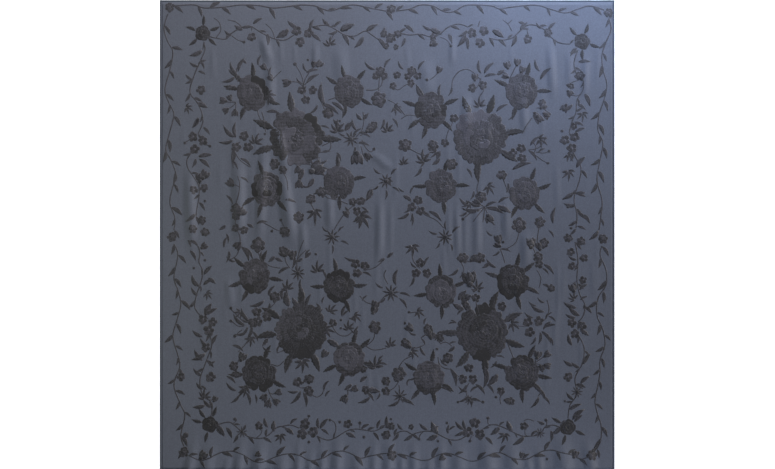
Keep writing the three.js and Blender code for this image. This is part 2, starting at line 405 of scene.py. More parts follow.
def cloth_points():
    """Grid of points over the whole cloth, with the rows a little closer together at the rippled edge."""
    across = np.linspace(-panel_x, panel_x, cloth_columns)
    share = np.linspace(0, 1, cloth_rows)
    up = -panel_y + 2 * panel_y * (share * (1 - row_crowding) + row_crowding * share * share)
    return np.meshgrid(across, up)


def make_cloth():
    x, y = cloth_points()
    under = lift(x, y)
    layers = [np.stack([x, y, under + high], -1).reshape(-1, 3) for high in (cloth_thick, 0)]
    count = cloth_columns * cloth_rows
    index = np.arange(count).reshape(cloth_rows, cloth_columns)
    near = index[:-1, :-1].ravel()
    right = index[:-1, 1:].ravel()
    corner = index[1:, 1:].ravel()
    far = index[1:, :-1].ravel()
    over = np.stack([near, right, corner, far], -1)
    below = np.stack([near, far, corner, right], -1) + count
    rim = np.concatenate([index[0, :-1], index[:-1, -1], index[-1, :0:-1], index[:0:-1, 0]])
    ahead = np.roll(rim, -1)
    sides = np.stack([rim, rim + count, ahead + count, ahead], -1)
    points = np.concatenate(layers).tolist()
    piece = new_object("shawl_cloth", points, np.concatenate([over, below, sides]).tolist())
    shade_smooth(piece)
    piece.data.materials.append(crepe)
    return piece


# Geometry Nodes. An input that isn't named here takes a number.
input_kinds = {"Cloth": "Object", "Shape": "Object", "Silk": "Material", "Seed": "Int"}


def new_tree(name, *labels):
    """A tree with one geometry in and out and the named inputs."""
    group = bpy.data.node_groups.new(name, "GeometryNodeTree")
    group.interface.new_socket("Geometry", in_out="INPUT", socket_type="NodeSocketGeometry")
    for label in labels:
        kind = "NodeSocket" + input_kinds.get(label, "Float")
        group.interface.new_socket(label, in_out="INPUT", socket_type=kind)
    group.interface.new_socket("Geometry", in_out="OUTPUT", socket_type="NodeSocketGeometry")
    tree = Tree(group)
    return tree, tree.node("NodeGroupInput")


def close_tree(tree, geometry, given):
    """Realized instances, then the finish, then the way out."""
    real = tree.node("GeometryNodeRealizeInstances", {"Geometry": geometry})
    dressed = tree.node("GeometryNodeSetMaterial", {"Geometry": real, "Material": given.beside("Silk")})
    tree.node("NodeGroupOutput", {0: dressed})
    return tree.node_tree


ray_start = 0.5
ray_length = 1.0


def raised_to_cloth(tree, geometry, given):
    """Every point goes up by the height of the cloth's face below or above it."""
    ground = tree.node("GeometryNodeObjectInfo", {"Object": given.beside("Cloth")})
    here = tree.split(tree.node("GeometryNodeInputPosition"))
    sockets = {
        "Target Geometry": ground.beside("Geometry"),
        "Source Position": tree.joined(here, here.beside("Y"), ray_start),
        "Ray Direction": (0, 0, -1),
        "Ray Length": ray_length,
    }
    hit = tree.node("GeometryNodeRaycast", sockets).beside("Hit Position")
    offset = tree.joined(z=tree.split(hit).beside("Z"))
    return tree.node("GeometryNodeSetPosition", {"Geometry": geometry, "Offset": offset})


def named_number(tree, name):
    return tree.node("GeometryNodeInputNamedAttribute", {"Name": name}, data_type="FLOAT")


def stored(tree, geometry, name, value):
    """Keeps a number on each point."""
    sockets = {"Geometry": geometry, "Name": name, "Value": value}
    return tree.node("GeometryNodeStoreNamedAttribute", sockets, data_type="FLOAT", domain="POINT")


def stations(tree, line, gap):
    """Points along a line, and the line's heading at each."""
    points = tree.node("GeometryNodeCurveToPoints", {"Curve": line, "Length": gap}, mode="LENGTH")
    tangent = tree.split(points.beside("Tangent"))
    return points, tree.math("ARCTAN2", tangent.beside("Y"), tangent)


def copied(tree, given, points, turn, **sockets):
    """A copy of the given shape at each point, turned about the upright."""
    shape = tree.node("GeometryNodeObjectInfo", {"Object": given.beside("Shape")}).beside("Geometry")
    sockets.update({"Points": points, "Instance": shape, "Rotation": tree.joined(z=turn)})
    copies = tree.node("GeometryNodeInstanceOnPoints", sockets)
    return tree.node("GeometryNodeRealizeInstances", {"Geometry": copies})


def cord(tree, given, line, sides):
    """A closed cord along a line, of the given width and height."""
    upright = tree.node("GeometryNodeSetCurveNormal", {"Curve": line}, mode="Z_UP")
    ring = tree.node("GeometryNodeCurvePrimitiveCircle", {"Resolution": sides, "Radius": 0.5})
    flat = tree.joined(given.beside("Width"), given.beside("Height"), 1.0)
    profile = tree.node("GeometryNodeTransform", {"Geometry": ring, "Scale": flat})
    sockets = {"Curve": upright, "Profile Curve": profile, "Fill Caps": True}
    return tree.node("GeometryNodeCurveToMesh", sockets)


def lay_tree():
    """Lays a flat drawing on the cloth."""
    tree, given = new_tree("lay on cloth", "Cloth", "Silk")
    return close_tree(tree, raised_to_cloth(tree, given, given), given)


def sprig_tree():
    """Puts one copy of a stitched shape at each point, turned and sized by the point, and lays it."""
    tree, given = new_tree("sprigs", "Shape", "Cloth", "Silk")
    copies = copied(tree, given, given, named_number(tree, "turn"), Scale=named_number(tree, "size"))
    # A length kept on the points grows with the size of its copy.
    for name in ("strand", "row"):
        copies = stored(tree, copies, name, named_number(tree, name) * named_number(tree, "size"))
    return close_tree(tree, raised_to_cloth(tree, copies, given), given)


stem_sides = 6
stem_tone = 0.3
# The threads of stem stitch cross the stem, so the strands are counted along it.
strands_along = 0.6


def stem_tree():
    """Runs a flat round-backed cord of stem stitch along each line."""
    tree, given = new_tree("stem stitch", "Width", "Height", "Step", "Cloth", "Silk")
    line = tree.node("GeometryNodeMeshToCurve", {"Mesh": given})
    sockets = {"Curve": line, "Length": given.beside("Step")}
    laid = raised_to_cloth(tree, tree.node("GeometryNodeResampleCurve", sockets, mode="LENGTH"), given)
    length = tree.node("GeometryNodeSplineParameter").beside("Length")
    marked = stored(tree, stored(tree, laid, "strand", length * strands_along), "tone", stem_tone)
    return close_tree(tree, cord(tree, given, marked, stem_sides), given)


def leafy_tree():
    """Sets leaves along a vine, on alternate sides, and lays them."""
    tree, given = new_tree("leafy vine", "Shape", "Spacing", "Leaf Length", "Lean", "Seed", "Cloth", "Silk")
    line = tree.node("GeometryNodeMeshToCurve", {"Mesh": given})
    points, heading = stations(tree, line, given.beside("Spacing"))
    side = tree.math("MODULO", tree.node("GeometryNodeInputIndex"), 2) * 2 - 1

    def chance(low, high, offset):
        sockets = {2: low, 3: high, "Seed": given.beside("Seed") + offset}
        return tree.node("FunctionNodeRandomValue", sockets, 1, data_type="FLOAT")

    turn = heading + side * (given.beside("Lean") + chance(-0.28, 0.32, 0))
    size = given.beside("Leaf Length") * chance(0.72, 1.18, 1)
    foot = tree.split(tree.node("GeometryNodeInputPosition"))
    tip_x = tree.math("ABSOLUTE", foot + size * tree.math("COSINE", turn))
    tip_y = tree.math("ABSOLUTE", foot.beside("Y") + size * turn.sine())
    inside = tree.math("LESS_THAN", tip_x, panel_x) * tree.math("LESS_THAN", tip_y, panel_y)
    leaves = copied(tree, given, points, turn, Selection=inside, Scale=size)
    return close_tree(tree, raised_to_cloth(tree, leaves, given), given)


roll_sides = 10


def hem_tree():
    """Rolls a hem along a line and whips it with slanted stitches."""
    tree, given = new_tree("rolled hem", "Shape", "Width", "Height", "Pitch", "Slant", "Silk")
    line = tree.node("GeometryNodeMeshToCurve", {"Mesh": given})
    points, heading = stations(tree, line, given.beside("Pitch"))
    stitches = copied(tree, given, points, heading + given.beside("Slant"))
    roll = cord(tree, given, line, roll_sides)
    return close_tree(tree, tree.node("GeometryNodeJoinGeometry", {"Geometry": [roll, stitches]}), given)


def grown(host, group, inputs):
    """Runs a tree on its host object and keeps the result as a plain mesh."""
    modifier = host.modifiers.new("growth", "NODES")
    modifier.node_group = group
    sockets = {item.name: item.identifier for item in group.interface.items_tree if item.in_out == "INPUT"}
    for label, value in inputs.items():
        modifier[sockets[label]] = value
    bpy.context.view_layer.update()
    evaluated = host.evaluated_get(bpy.context.evaluated_depsgraph_get())
    mesh = bpy.data.meshes.new_from_object(evaluated)
    host.modifiers.remove(modifier)
    old = host.data
    host.data = mesh
    bpy.data.meshes.remove(old)
    mesh.name = host.name
    shade_smooth(host)


# Stitched shapes, drawn flat
under_cloth = -0.15 * mm
# Painted shade along each pad's rim, where pads meet: rim spots take this share of the pad's tone.
rim_painted_shade_share = 0.3
petal_droop = 0.1


def around(centre, reach, turn):
    return (centre[0] + reach * math.cos(turn), centre[1] + reach * math.sin(turn))


class Stitching:
    """Padded shapes in one flat drawing. Each is a closed pad whose rim dips just under the cloth."""

    def __init__(self):
        self.spots = []
        self.faces = []

    def add(self, spots, tops, tone):
        """spots are x, y, z, strand and row. tops are the faces seen from above, by the spots' numbers."""
        start = len(self.spots)
        # Spots on the rim, under the cloth, get a lower tone: painted shade where pads meet.
        self.spots += [(*spot, tone if spot[2] > under_cloth else tone * rim_painted_shade_share) for spot in spots]
        below = {}
        for k, (x, y, z, *threads) in enumerate(spots):
            below[k] = start + k
            if z > under_cloth:
                below[k] = len(self.spots)
                self.spots.append((x, y, under_cloth, *threads, tone))
        for face in tops:
            self.faces.append(tuple(start + k for k in face))
            self.faces.append(tuple(below[k] for k in reversed(face)))

    def pad(self, rows, tone):
        """rows go along the shape, each from its right side to its left. A row of one spot is a tip."""
        tops = []
        a = 0
        for near, far in zip(rows, rows[1:]):
            b = a + len(near)
            if len(near) == 1:
                tops.extend((a, b + k, b + k + 1) for k in range(len(far) - 1))
            elif len(far) == 1:
                tops.extend((a + k, b, a + k + 1) for k in range(len(near) - 1))
            else:
                tops.extend((a + k, b + k, b + k + 1, a + k + 1) for k in range(len(near) - 1))
            a = b
        self.add([spot for row in rows for spot in row], tops, tone)

    def leaf(self, foot, turn, length, half, rise, tone, bend=0.1, teeth=0.0, vein=0.5, steps=6):
        """A leaf from its foot. bend is its sideways bow and teeth how deep its notches are."""
        ahead_x, ahead_y = math.cos(turn), math.sin(turn)
        shoulder = 0.5 if vein < 1 else 0.75
        rows = []
        for r in range(steps + 1):
            s = r / steps
            bow = bend * length * math.sin(math.pi * s)
            wide = 0 if r in (0, steps) else half * math.sin(math.pi * s**0.8)
            wide *= 1 - teeth * (r % 2 == 0)
            row = []
            for c in (-1, -shoulder, 0, shoulder, 1) if wide else (0,):
                aside = bow + c * wide
                x = foot[0] + ahead_x * s * length - ahead_y * aside
                y = foot[1] + ahead_y * s * length + ahead_x * aside
                edge = abs(c) == 1 or wide == 0
                z = under_cloth if edge else rise * (vein if c == 0 else 1)
                row.append((x, y, z, s * length * 0.7 + abs(c) * wide * 0.7, c * wide))
            rows.append(row)
        self.pad(rows, tone)

    def petal(self, centre, turn, span, inner, outer, rise, tone, base=0.0, lobes=3, threads="rays"):
        """A fan-shaped petal with a scalloped rim."""
        steps = 4 * lobes
        across = [-1, -0.93] + [-0.93 + 1.86 * k / steps for k in range(1, steps)] + [0.93, 1]
        rows = []
        for s in (0, 0.08, 0.24, 0.4, 0.55, 0.7, 0.84, 0.95, 1):
            row = []
            for t in across:
                scallop = abs(math.sin(math.pi * lobes * (t + 1) / 2))
                wave = 0.03 * math.sin(5.3 * t + 9 * turn)
                rim = outer * (1 - petal_droop * t * t + wave) * (0.91 + 0.09 * scallop)
                reach = inner + (rim - inner) * s
                angle = turn + span / 2 * t * (0.86 + 0.14 * math.sin(math.pi * min(1, s + 0.2)))
                x, y = around(centre, reach, angle)
                edge = abs(t) == 1 or s in (0, 1)
                z = under_cloth if edge else base + rise * (1 - 0.25 * t * t) * (0.9 if s > 0.9 else 1)
                strand = {"rays": angle * outer * 0.7, "rings": reach, "upright": x}[threads]
                along = {"rays": reach, "rings": angle * outer, "upright": y}[threads]
                row.append((x, y, z, strand, along))
            rows.append(row)
        self.pad(rows, tone)

    def disc(self, centre, radius, rise, tone, base=0.0, lobes=5, dip=0.06):
        """A round pad with a lightly scalloped rim."""
        sides = 2 * lobes
        spots = []
        for share, high in ((1, None), (0.82, 1), (0.4, 1.15)):
            for k in range(sides):
                turn = 2 * math.pi * k / sides
                reach = radius * share * (1 - dip * (k % 2))
                z = under_cloth if high is None else base + rise * high
                spots.append((*around(centre, reach, turn), z, turn * radius * 0.5, reach))
        tops = []
        for a in range(2 * sides):
            b = a - a % sides + (a + 1) % sides
            tops.append((a, b, b + sides, a + sides))
        tops.append(tuple(range(2 * sides, 3 * sides)))
        self.add(spots, tops, tone)

    def grow_taller(self, middle_y, share):
        self.spots = [(x, middle_y + (y - middle_y) * share, *rest) for x, y, *rest in self.spots]

    def made(self, name):
        piece = new_object(name, [spot[:3] for spot in self.spots], self.faces)
        for column, label in enumerate(("strand", "row", "tone"), 3):
            mark_points(piece, label, [spot[column] for spot in self.spots])
        return piece


# Flowers: x, y and radius in millimetres, the directions of the leaves in degrees, how the threads run, then
# how light each petal is, from the right round to the left, in the outer ring and in the next. These shades
# are partly the silk's own unevenness and partly painted sheen and painted highlights, the satin's shine on
# each petal.
peonies = {
    "upper_left": (-281, 303, 78, [98, 158, 202, 357], "upright",
                   [0.25, -0.1, 0.85, 0.45, 0.15, 0.3, 0.85, 0.35], [0.5, 0.35, 0.9, 0.75, 0.75, 0.7]),
    "upper_right": (286, 303, 76, [7, 72, 113, 268, 327], "rings",
                    [0.4, 0.4, 0.95, 0.9, 0.5, 0.45, 0.3, 0.45], [0.5, 0.6, 0.55, 0.75, 0.45, 0.45]),
    "lower_left": (-266, -292, 77, [91, 150, 190, 250, 294], "rings",
                   [0.4, 0.5, 0.6, 0.9, 0.8, 0.35, 0.1, 0.35], [0.4, 0.55, 0.65, 0.65, 0.45, 0.35]),
    "lower_right": (295, -298, 75, [26, 69, 119, 179, 232, 272, 341], "rays",
                    [0.6, 0.65, 0.1, 0.55, 0.7, 0.6, 0.1, 0.55], [0.6, 0.45, 0.3, 0.55, 0.5, 0.4]),
}
roses = {
    "upper_left_1": (-414, 441, 46, [92, 137, 168, 246, 337], "upright",
                     [0.1, -0.15, 0.65, 0.5, 0.4, 0.5], [0.6, 0.5, 0.65, 0.5, 0.6]),
    "upper_left_2": (-118, 444, 42, [52, 105, 147, 256, 330], "upright",
                     [0.5, 0.65, 0.7, 0.5, 0.4, 0.45], [0.6, 0.5, 0.6, 0.45, 0.55]),
    "upper_left_3": (-370, 143, 46, [108, 215, 252, 312], "rays",
                     [-0.05, 0.4, 0.55, -0.1, 0.5, 0.45], [0.7, 0.55, 0.75, 0.5, 0.7]),
    "upper_left_4": (-149, 164, 43, [10, 94, 205, 272], "rings",
                     [0.45, 0.7, 0.75, 0.45, 0.4, 0.4], [0.5, 0.6, 0.55, 0.4, 0.5]),
    "upper_right_1": (135, 386, 46, [23, 120, 162, 220, 252, 315], "upright",
                      [0.2, 0.5, 0.6, 0.2, 0.4, 0.45], [0.5, 0.6, 0.5, 0.3, 0.5]),
    "upper_right_2": (415, 444, 46, [0, 75, 157, 251], "rings",
                      [0.5, 0.35, 0.55, 0.6, 0.4, 0.3], [0.6, 0.5, 0.55, 0.6, 0.45]),
    "upper_right_3": (166, 152, 44, [0, 75, 180, 277], "rings",
                      [0.55, 0.5, 0.65, 0.6, 0.5, 0.55], [0.45, 0.55, 0.5, 0.4, 0.5]),
    "upper_right_4": (424, 130, 43, [21, 68, 241, 315], "rings",
                      [0.6, 0.55, 0.7, 0.6, 0.45, 0.5], [0.7, 0.6, 0.65, 0.6, 0.7]),
    "lower_left_1": (-407, -125, 44, [65, 138, 201, 242, 351], "rays",
                     [0.6, 0.75, 0.75, 0.6, 0.0, 0.5], [0.9, 0.85, 0.95, 0.45, 0.6]),
    "lower_left_2": (-149, -156, 44, [4, 101, 180, 293], "rings",
                     [0.5, 0.1, 0.15, 0.55, 0.15, 0.1], [0.6, 0.5, 0.6, 0.55, 0.5]),
    "lower_left_3": (-395, -424, 47, [67, 182, 230, 333], "rays",
                     [0.55, 0.05, 0.5, 0.6, 0.1, 0.15], [0.5, 0.4, 0.6, 0.45, 0.4]),
    "lower_left_4": (-118, -378, 45, [43, 72, 208, 249, 342], "upright",
                     [0.95, 0.55, 0.6, 0.95, 0.6, 0.5], [1.1, 1.0, 0.95, 1.1, 0.95]),
    "lower_right_1": (166, -172, 43, [22, 94, 189, 270], "rays",
                      [0.95, 0.5, 0.55, 0.9, 0.55, 0.5], [1.15, 1.0, 1.1, 1.15, 1.0]),
    "lower_right_2": (387, -141, 45, [41, 78, 162, 286, 334], "rings",
                      [0.5, 0.55, 0.4, 0.05, 0.1, 0.15], [0.6, 0.55, 0.5, 0.4, 0.5]),
    "lower_right_3": (129, -436, 44, [81, 149, 231, 281, 329], "upright",
                      [0.9, 0.8, 0.9, 0.75, 0.35, 0.45], [0.95, 0.85, 0.95, 0.75, 0.85]),
    "lower_right_4": (415, -421, 47, [64, 165, 272, 315, 349], "rays",
                      [0.7, 0.35, 0.4, 0.7, 0.35, 0.4], [0.7, 0.65, 0.75, 0.6, 0.65]),
}
corner_flowers = {
    "top_left": (-568, 623, 25, [22, 87, 160, 221, 318], "rays",
                 [0.2, 0.4, 0.3, 0.15, 0.35], [0.1] * 3),
    "top_right": (600, 598, 26, [72, 131, 232, 273, 342], "rays",
                  [0.4, 0.3, 0.2, 0.35, 0.2], [0.2] * 3),
    "bottom_left": (-546, -581, 26, [70, 125, 165, 255, 320], "rays",
                    [0.1, 0.2, 0.05, 0.15, 0.2], [0.0] * 3),
    "bottom_right": (557, -590, 26, [40, 150, 200, 250, 335], "rays",
                     [0.4, 0.3, 0.45, 0.3, 0.35], [0.3] * 3),
}

# How each kind of flower is worked: its full size against its radius, how tall it is, the scallops on its
# petals, its knots, the reach and half width of its leaves, its silk
flower_kinds = {
    "peony": (1.12, 1.07, 3, 22, 1.85, 0.2, "peony_silk"),
    "rose": (1.15, 1.1, 2, 12, 2.05, 0.22, "rose_silk"),
    "corner_flower": (1.0, 1, 1, 5, 2.3, 0.3, "rose_silk"),
}
# The rings of petals, from the outside in: reach, inner end, scallops beyond the kind's own
petal_rings = [
    (1, 0.3, 0),
    (0.68, 0.2, 1),
    (0.42, 0.1, 0),
]
ring_lift = 0.24 * mm
pad_rise = 0.3 * mm
# The knots of a flower's heart stand on a disc. Both are sized by the full flower.
disc_share = 0.4
disc_base = 0.2 * mm
knot_share = 0.035
knot_reach = 0.3
knot_base = 0.85 * mm
knot_rise = 0.2 * mm
leaf_root = 0.93
leaf_teeth = 0.24
# Painted shade: the flowers below the middle have their tones scaled by this share and lowered by this drop,
# so they come out darker.
low_flower_painted_shade_share = 0.9
low_flower_painted_shade_drop = 0.17


def petal_ring(drawing, centre, size, tones, chance, layer, lobes, threads):
    """One ring of overlapping petals. Its heart lies a little off the middle."""
    share, hollow, more_lobes = petal_rings[layer]
    inner = hollow * size
    step = 2 * math.pi / len(tones)
    stray = 0.06 * size * layer
    heart = (centre[0] + chance.uniform(-stray, stray), centre[1] + chance.uniform(-stray, stray))
    first = chance.uniform(0, 1) * (layer > 0)
    rough = 0.05 + 0.08 * layer
    for k, tone in enumerate(tones):
        turn = (k + first) * step + chance.uniform(-0.12, 0.12)
        span = step * chance.uniform(1.25, 1.55)
        outer = size * share * chance.uniform(1 - rough, 1 + rough)
        base = ring_lift * (layer + 0.5 * (k % 2))
        drawing.petal(heart, turn, span, inner, outer, pad_rise, tone, base, lobes + more_lobes, threads)


def flower_petals(drawing, kind, flower, chance):
    x, y, radius, leaves, threads, outer, inner = flower
    bloom, tall, lobes, knots, reach, half, slot = flower_kinds[kind]
    centre = (x * mm, y * mm)
    size = radius * mm
    full = size * bloom
    # Painted shade for the flowers below the middle, their knots included
    share, painted_shade_drop = (low_flower_painted_shade_share, low_flower_painted_shade_drop) if y < 0 else (1, 0)
    outer = [tone * share - painted_shade_drop for tone in outer]
    inner = [tone * share - painted_shade_drop for tone in inner]
    drawing.disc(centre, disc_share * full, knot_rise, inner[0], disc_base, lobes=7)
    for layer, tones in enumerate((outer, inner, inner[::2] + outer[3:4])):
        petal_ring(drawing, centre, full, tones, chance, layer, lobes, threads)
    for k in range(knots):
        turn = chance.uniform(0, 2 * math.pi)
        spot = around(centre, knot_reach * full * math.sqrt(chance.random()), turn)
        tone = share * chance.uniform(0.4, 1) - painted_shade_drop
        drawing.disc(spot, knot_share * full, knot_rise, tone, knot_base, lobes=3, dip=0)
    drawing.grow_taller(centre[1], tall)
    for degrees in leaves:
        turn = math.radians(degrees)
        foot = around(centre, leaf_root * size, turn)
        length = (reach - leaf_root) * size
        tone = chance.uniform(0.02, 0.3)
        bend = chance.uniform(-0.08, 0.08)
        drawing.leaf(foot, turn, length, half * size, pad_rise, tone, bend, leaf_teeth, steps=12)


cloth = make_cloth()
lay_on_cloth = lay_tree()
sprigs_on_cloth = sprig_tree()
stems_on_cloth = stem_tree()
leaves_on_vine = leafy_tree()


def dress(piece, slot, *nodes):
    """Every piece rides on the shawl's one body, and the parts given by name are hidden."""
    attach(piece, "root")
    if nodes:
        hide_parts(*nodes)


def make_flowers(kind, flowers):
    slot = flower_kinds[kind][-1]
    for place, flower in flowers.items():
        drawing = Stitching()
        flower_petals(drawing, kind, flower, random.Random(f"{kind} {place}"))
        piece = drawing.made(f"{kind}_{place}_silk")
        grown(piece, lay_on_cloth, {"Cloth": cloth, "Silk": floss[slot]})
        dress(piece, slot, f"{kind}_{place}")


make_flowers("peony", peonies)
make_flowers("rose", roses)
make_flowers("corner_flower", corner_flowers)


# Small stitched shapes of unit length, growing along +X from the origin. They are patterns for the sprigs.
def slim_leaf(drawing):
    drawing.leaf((0, 0), 0, 1, 0.12, 0.006, 0.2, bend=0.12, vein=1)


def border_leaf(drawing):
    drawing.leaf((0, 0), 0, 1, 0.16, 0.008, 0.2, bend=0.08, vein=1)


def broad_leaf(drawing):
    drawing.leaf((0, 0), 0, 1, 0.25, 0.01, 0.25, bend=0.05, teeth=0.22, steps=8)


def star_leaf(drawing):
    for degrees, length in ((-78, 0.6), (-38, 0.85), (0, 1), (40, 0.8), (82, 0.65)):
        drawing.leaf((0, 0), math.radians(degrees), length, 0.12, 0.009, 0.18, bend=0.08, vein=1)


def tulip(drawing):
    """A cup of three pointed petals on a small calyx."""
    petals = ((-24, 0.95, 0.26, 0.01), (24, 0.95, 0.26, 0.017), (0, 0.85, 0.3, 0.027))
    for degrees, length, half, rise in petals:
        drawing.leaf((0, 0), math.radians(degrees), length, half, rise, 0.2, bend=0, vein=1, steps=5)
    drawing.disc((0.05, 0), 0.22, 0.04, 0.1, lobes=3)


def ragged_ring(drawing, count, away, radius, rise, tones):
    """Round petals of uneven size and shade."""
    for k in range(count):
        turn = 2 * math.pi * (k + 0.12 * math.sin(5 * k)) / count
        reach = away * (1 + 0.1 * math.sin(3 * k + 1))
        size = radius * (1 + 0.14 * math.sin(4 * k + 2))
        drawing.disc(around((0, 0), reach, turn), size, rise, tones[k % len(tones)], lobes=4, dip=0.1)


def blossom(drawing):
    """Five round petals about a small knot."""
    ragged_ring(drawing, 5, 0.58, 0.5, 0.02, (0.3, 0.1, 0.25, 0.05))
    drawing.disc((0.05, 0), 0.26, 0.045, 0.75, lobes=4)


def little_rose(drawing):
    ragged_ring(drawing, 6, 0.64, 0.44, 0.02, (0.25, 0.05, 0.2))
    ragged_ring(drawing, 3, 0.24, 0.42, 0.035, (0.45, 0.25, 0.35))
    drawing.disc((0, 0.04), 0.2, 0.05, 0.7, lobes=4)


def dahlia(drawing):
    for k in range(9):
        turn = 2 * math.pi * k / 9
        drawing.leaf(around((0, 0), 0.12, turn), turn, 0.88, 0.13, 0.011, 0.22, bend=0, vein=1)
    drawing.disc((0, 0), 0.3, 0.04, 0.1, lobes=5)


def berry(drawing):
    drawing.disc((0, 0), 1, 0.1, 0.2, lobes=4, dip=0)


patterns = {}
for shape in (slim_leaf, border_leaf, broad_leaf, star_leaf, tulip, blossom, little_rose, dahlia, berry):
    drawing = Stitching()
    shape(drawing)
    patterns[shape.__name__] = drawing.made(f"pattern_{shape.__name__}")

# Painted light: the small motifs' tone is raised by this much at the bottom edge, rising to the next at the
# top edge.
painted_light_at_bottom = 0.05
painted_light_at_top = 0.27


def catch_light(piece):
    """Paints light into small motifs: their tone rises the nearer they lie to the top edge, a painted
    highlight of the window's light.
    """
    points = piece.data.vertices
    spots = np.empty(3 * len(points))
    points.foreach_get("co", spots)
    tone = piece.data.attributes["tone"].data
    tones = np.empty(len(points))
    tone.foreach_get("value", tones)
    up = (spots[1::3] - bottom_edge) / shawl_long
    tone.foreach_set("value", tones + painted_light_at_bottom + (painted_light_at_top - painted_light_at_bottom) * up)


def work_in_floss(host, tree, inputs):
    grown(host, tree, {**inputs, "Cloth": cloth, "Silk": floss["rose_silk"]})
    catch_light(host)
    dress(host, "rose_silk")


def grow_sprigs(name, pattern, rows):
    """rows are x, y, turn and size on the cloth."""
    host = new_object(name, [(x, y, 0) for x, y, turn, size in rows], [])
    mark_points(host, "turn", [row[2] for row in rows])
    mark_points(host, "size", [row[3] for row in rows])
    work_in_floss(host, sprigs_on_cloth, {"Shape": patterns[pattern]})


def eased(p, q, r, s, t):
    """A value on its way from q to r, eased by the ones before and after them."""
    square = 2 * p - 5 * q + 4 * r - s
    return 0.5 * (2 * q + (r - p) * t + square * t * t + (3 * q - p - 3 * r + s) * t**3)


def smooth_line(spots, closer=5):
    """A smooth line through the charted pixels, as points on the cloth."""
    ends = [spots[0]] + list(spots) + [spots[-1]]
    line = []
    for a, b, c, d in zip(ends, ends[1:], ends[2:], ends[3:]):
        for k in range(closer):
            line.append(on_cloth(*(eased(*values, k / closer) for values in zip(a, b, c, d))))
    line.append(on_cloth(*spots[-1]))
    return line


def line_object(name, charts):
    points = []
    edges = []
    for line in map(smooth_line, charts):
        start = len(points)
        points.extend((x, y, 0) for x, y in line)
        edges.extend((start + k, start + k + 1) for k in range(len(line) - 1))
    return new_object(name, points, [], edges)


vine_width = 4.2 * mm
stalk_width = 3.4 * mm
border_stalk_width = 3.2 * mm
stem_height = 0.9 * mm
stem_step = 6 * mm
leaf_lean = 0.62


def grow_stems(name, charts, width):
    inputs = {"Width": width, "Height": stem_height, "Step": stem_step}
    work_in_floss(line_object(name, charts), stems_on_cloth, inputs)


def grow_leaves(name, charts, spacing, length, seed):
    """spacing and length are in pixels."""
    inputs = {"Spacing": spacing * pixel, "Leaf Length": length * pixel, "Lean": leaf_lean, "Seed": seed}
    inputs["Shape"] = patterns["border_leaf"]
    work_in_floss(line_object(name, charts), leaves_on_vine, inputs)


def leaf_rows(chart, share=1.0):
    """Foot and tip become a place, a turn and a length, that share of the way back from the tip."""
    rows = []
    for foot_x, foot_y, tip_x, tip_y in chart:
        x, y = on_cloth(tip_x + (foot_x - tip_x) * share, tip_y + (foot_y - tip_y) * share)
        turn = math.atan2(foot_y - tip_y, tip_x - foot_x)
        rows.append((x, y, turn, math.hypot(tip_x - foot_x, tip_y - foot_y) * pixel * share))
    return rows


round_share = 1.14


def round_rows(chart, chance):
    """Middle pixels and a radius in pixels become a place, a turn by chance and a size."""
    full = round_share * pixel
    return [(*on_cloth(px, py), chance.uniform(0, 2 * math.pi), radius * full) for px, py, radius in chart]


# The chart of the embroidery, read off the photograph in its own pixels.
# Vines of the outer border, each from corner to corner or to the middle of a side
outer_vines = [
    [(174, 6), (185, 5), (195, 5), (205, 8), (225, 7), (240, 5), (258, 5.5), (272, 8), (285, 7), (300, 5),
     (315, 6), (330, 11), (345, 6), (355, 5), (370, 8), (386, 11)],
    [(396, 11), (410, 9), (420, 5), (433, 6), (445, 12), (455, 11), (465, 5.5), (478, 5), (492, 6), (500, 9),
     (512, 7), (535, 5), (550, 9), (565, 13), (578, 9), (590, 6), (604, 10)],
    [(609, 18), (611, 30), (606, 42), (602, 55), (603, 70), (607, 85), (604, 100), (599, 115), (598, 130),
     (603, 143), (600, 160), (597, 180), (602, 200), (601, 215), (599, 230)],
    [(602, 246), (600, 255), (606, 270), (606, 285), (598, 298), (597, 315), (603, 330), (605, 345),
     (600, 360), (600, 372), (598, 385), (595, 400), (597, 412), (601, 425), (601, 438), (597, 449)],
    [(168, 14), (164, 28), (168, 42), (173, 52), (170, 70), (165, 90), (170, 105), (174, 115), (169, 135),
     (166, 150), (171, 160), (176, 175), (172, 190), (170, 203), (175, 218), (174, 230)],
    [(174, 244), (178, 255), (174, 277), (178, 290), (181, 304), (177, 320), (173, 336), (177, 352),
     (180, 366), (174, 385), (181, 405), (185, 415), (181, 435), (184, 446)],
    [(189, 455), (199, 460), (207, 459), (215, 455), (223, 452), (232, 451), (242, 454), (250, 459),
     (258, 462), (266, 461), (275, 457), (285, 454), (294, 454), (301, 456), (308, 460), (316, 460),
     (325, 457), (334, 452), (343, 451), (352, 454), (360, 458), (370, 456), (380, 454), (388, 453)],
    [(397, 454), (405, 455), (412, 457), (420, 460), (428, 460), (436, 456), (444, 453), (452, 454),
     (460, 457), (470, 461), (478, 460), (486, 456), (494, 453), (502, 453), (510, 457), (518, 459),
     (527, 459), (535, 455), (543, 451), (552, 450), (560, 452), (572, 455), (581, 459), (590, 456)],
]
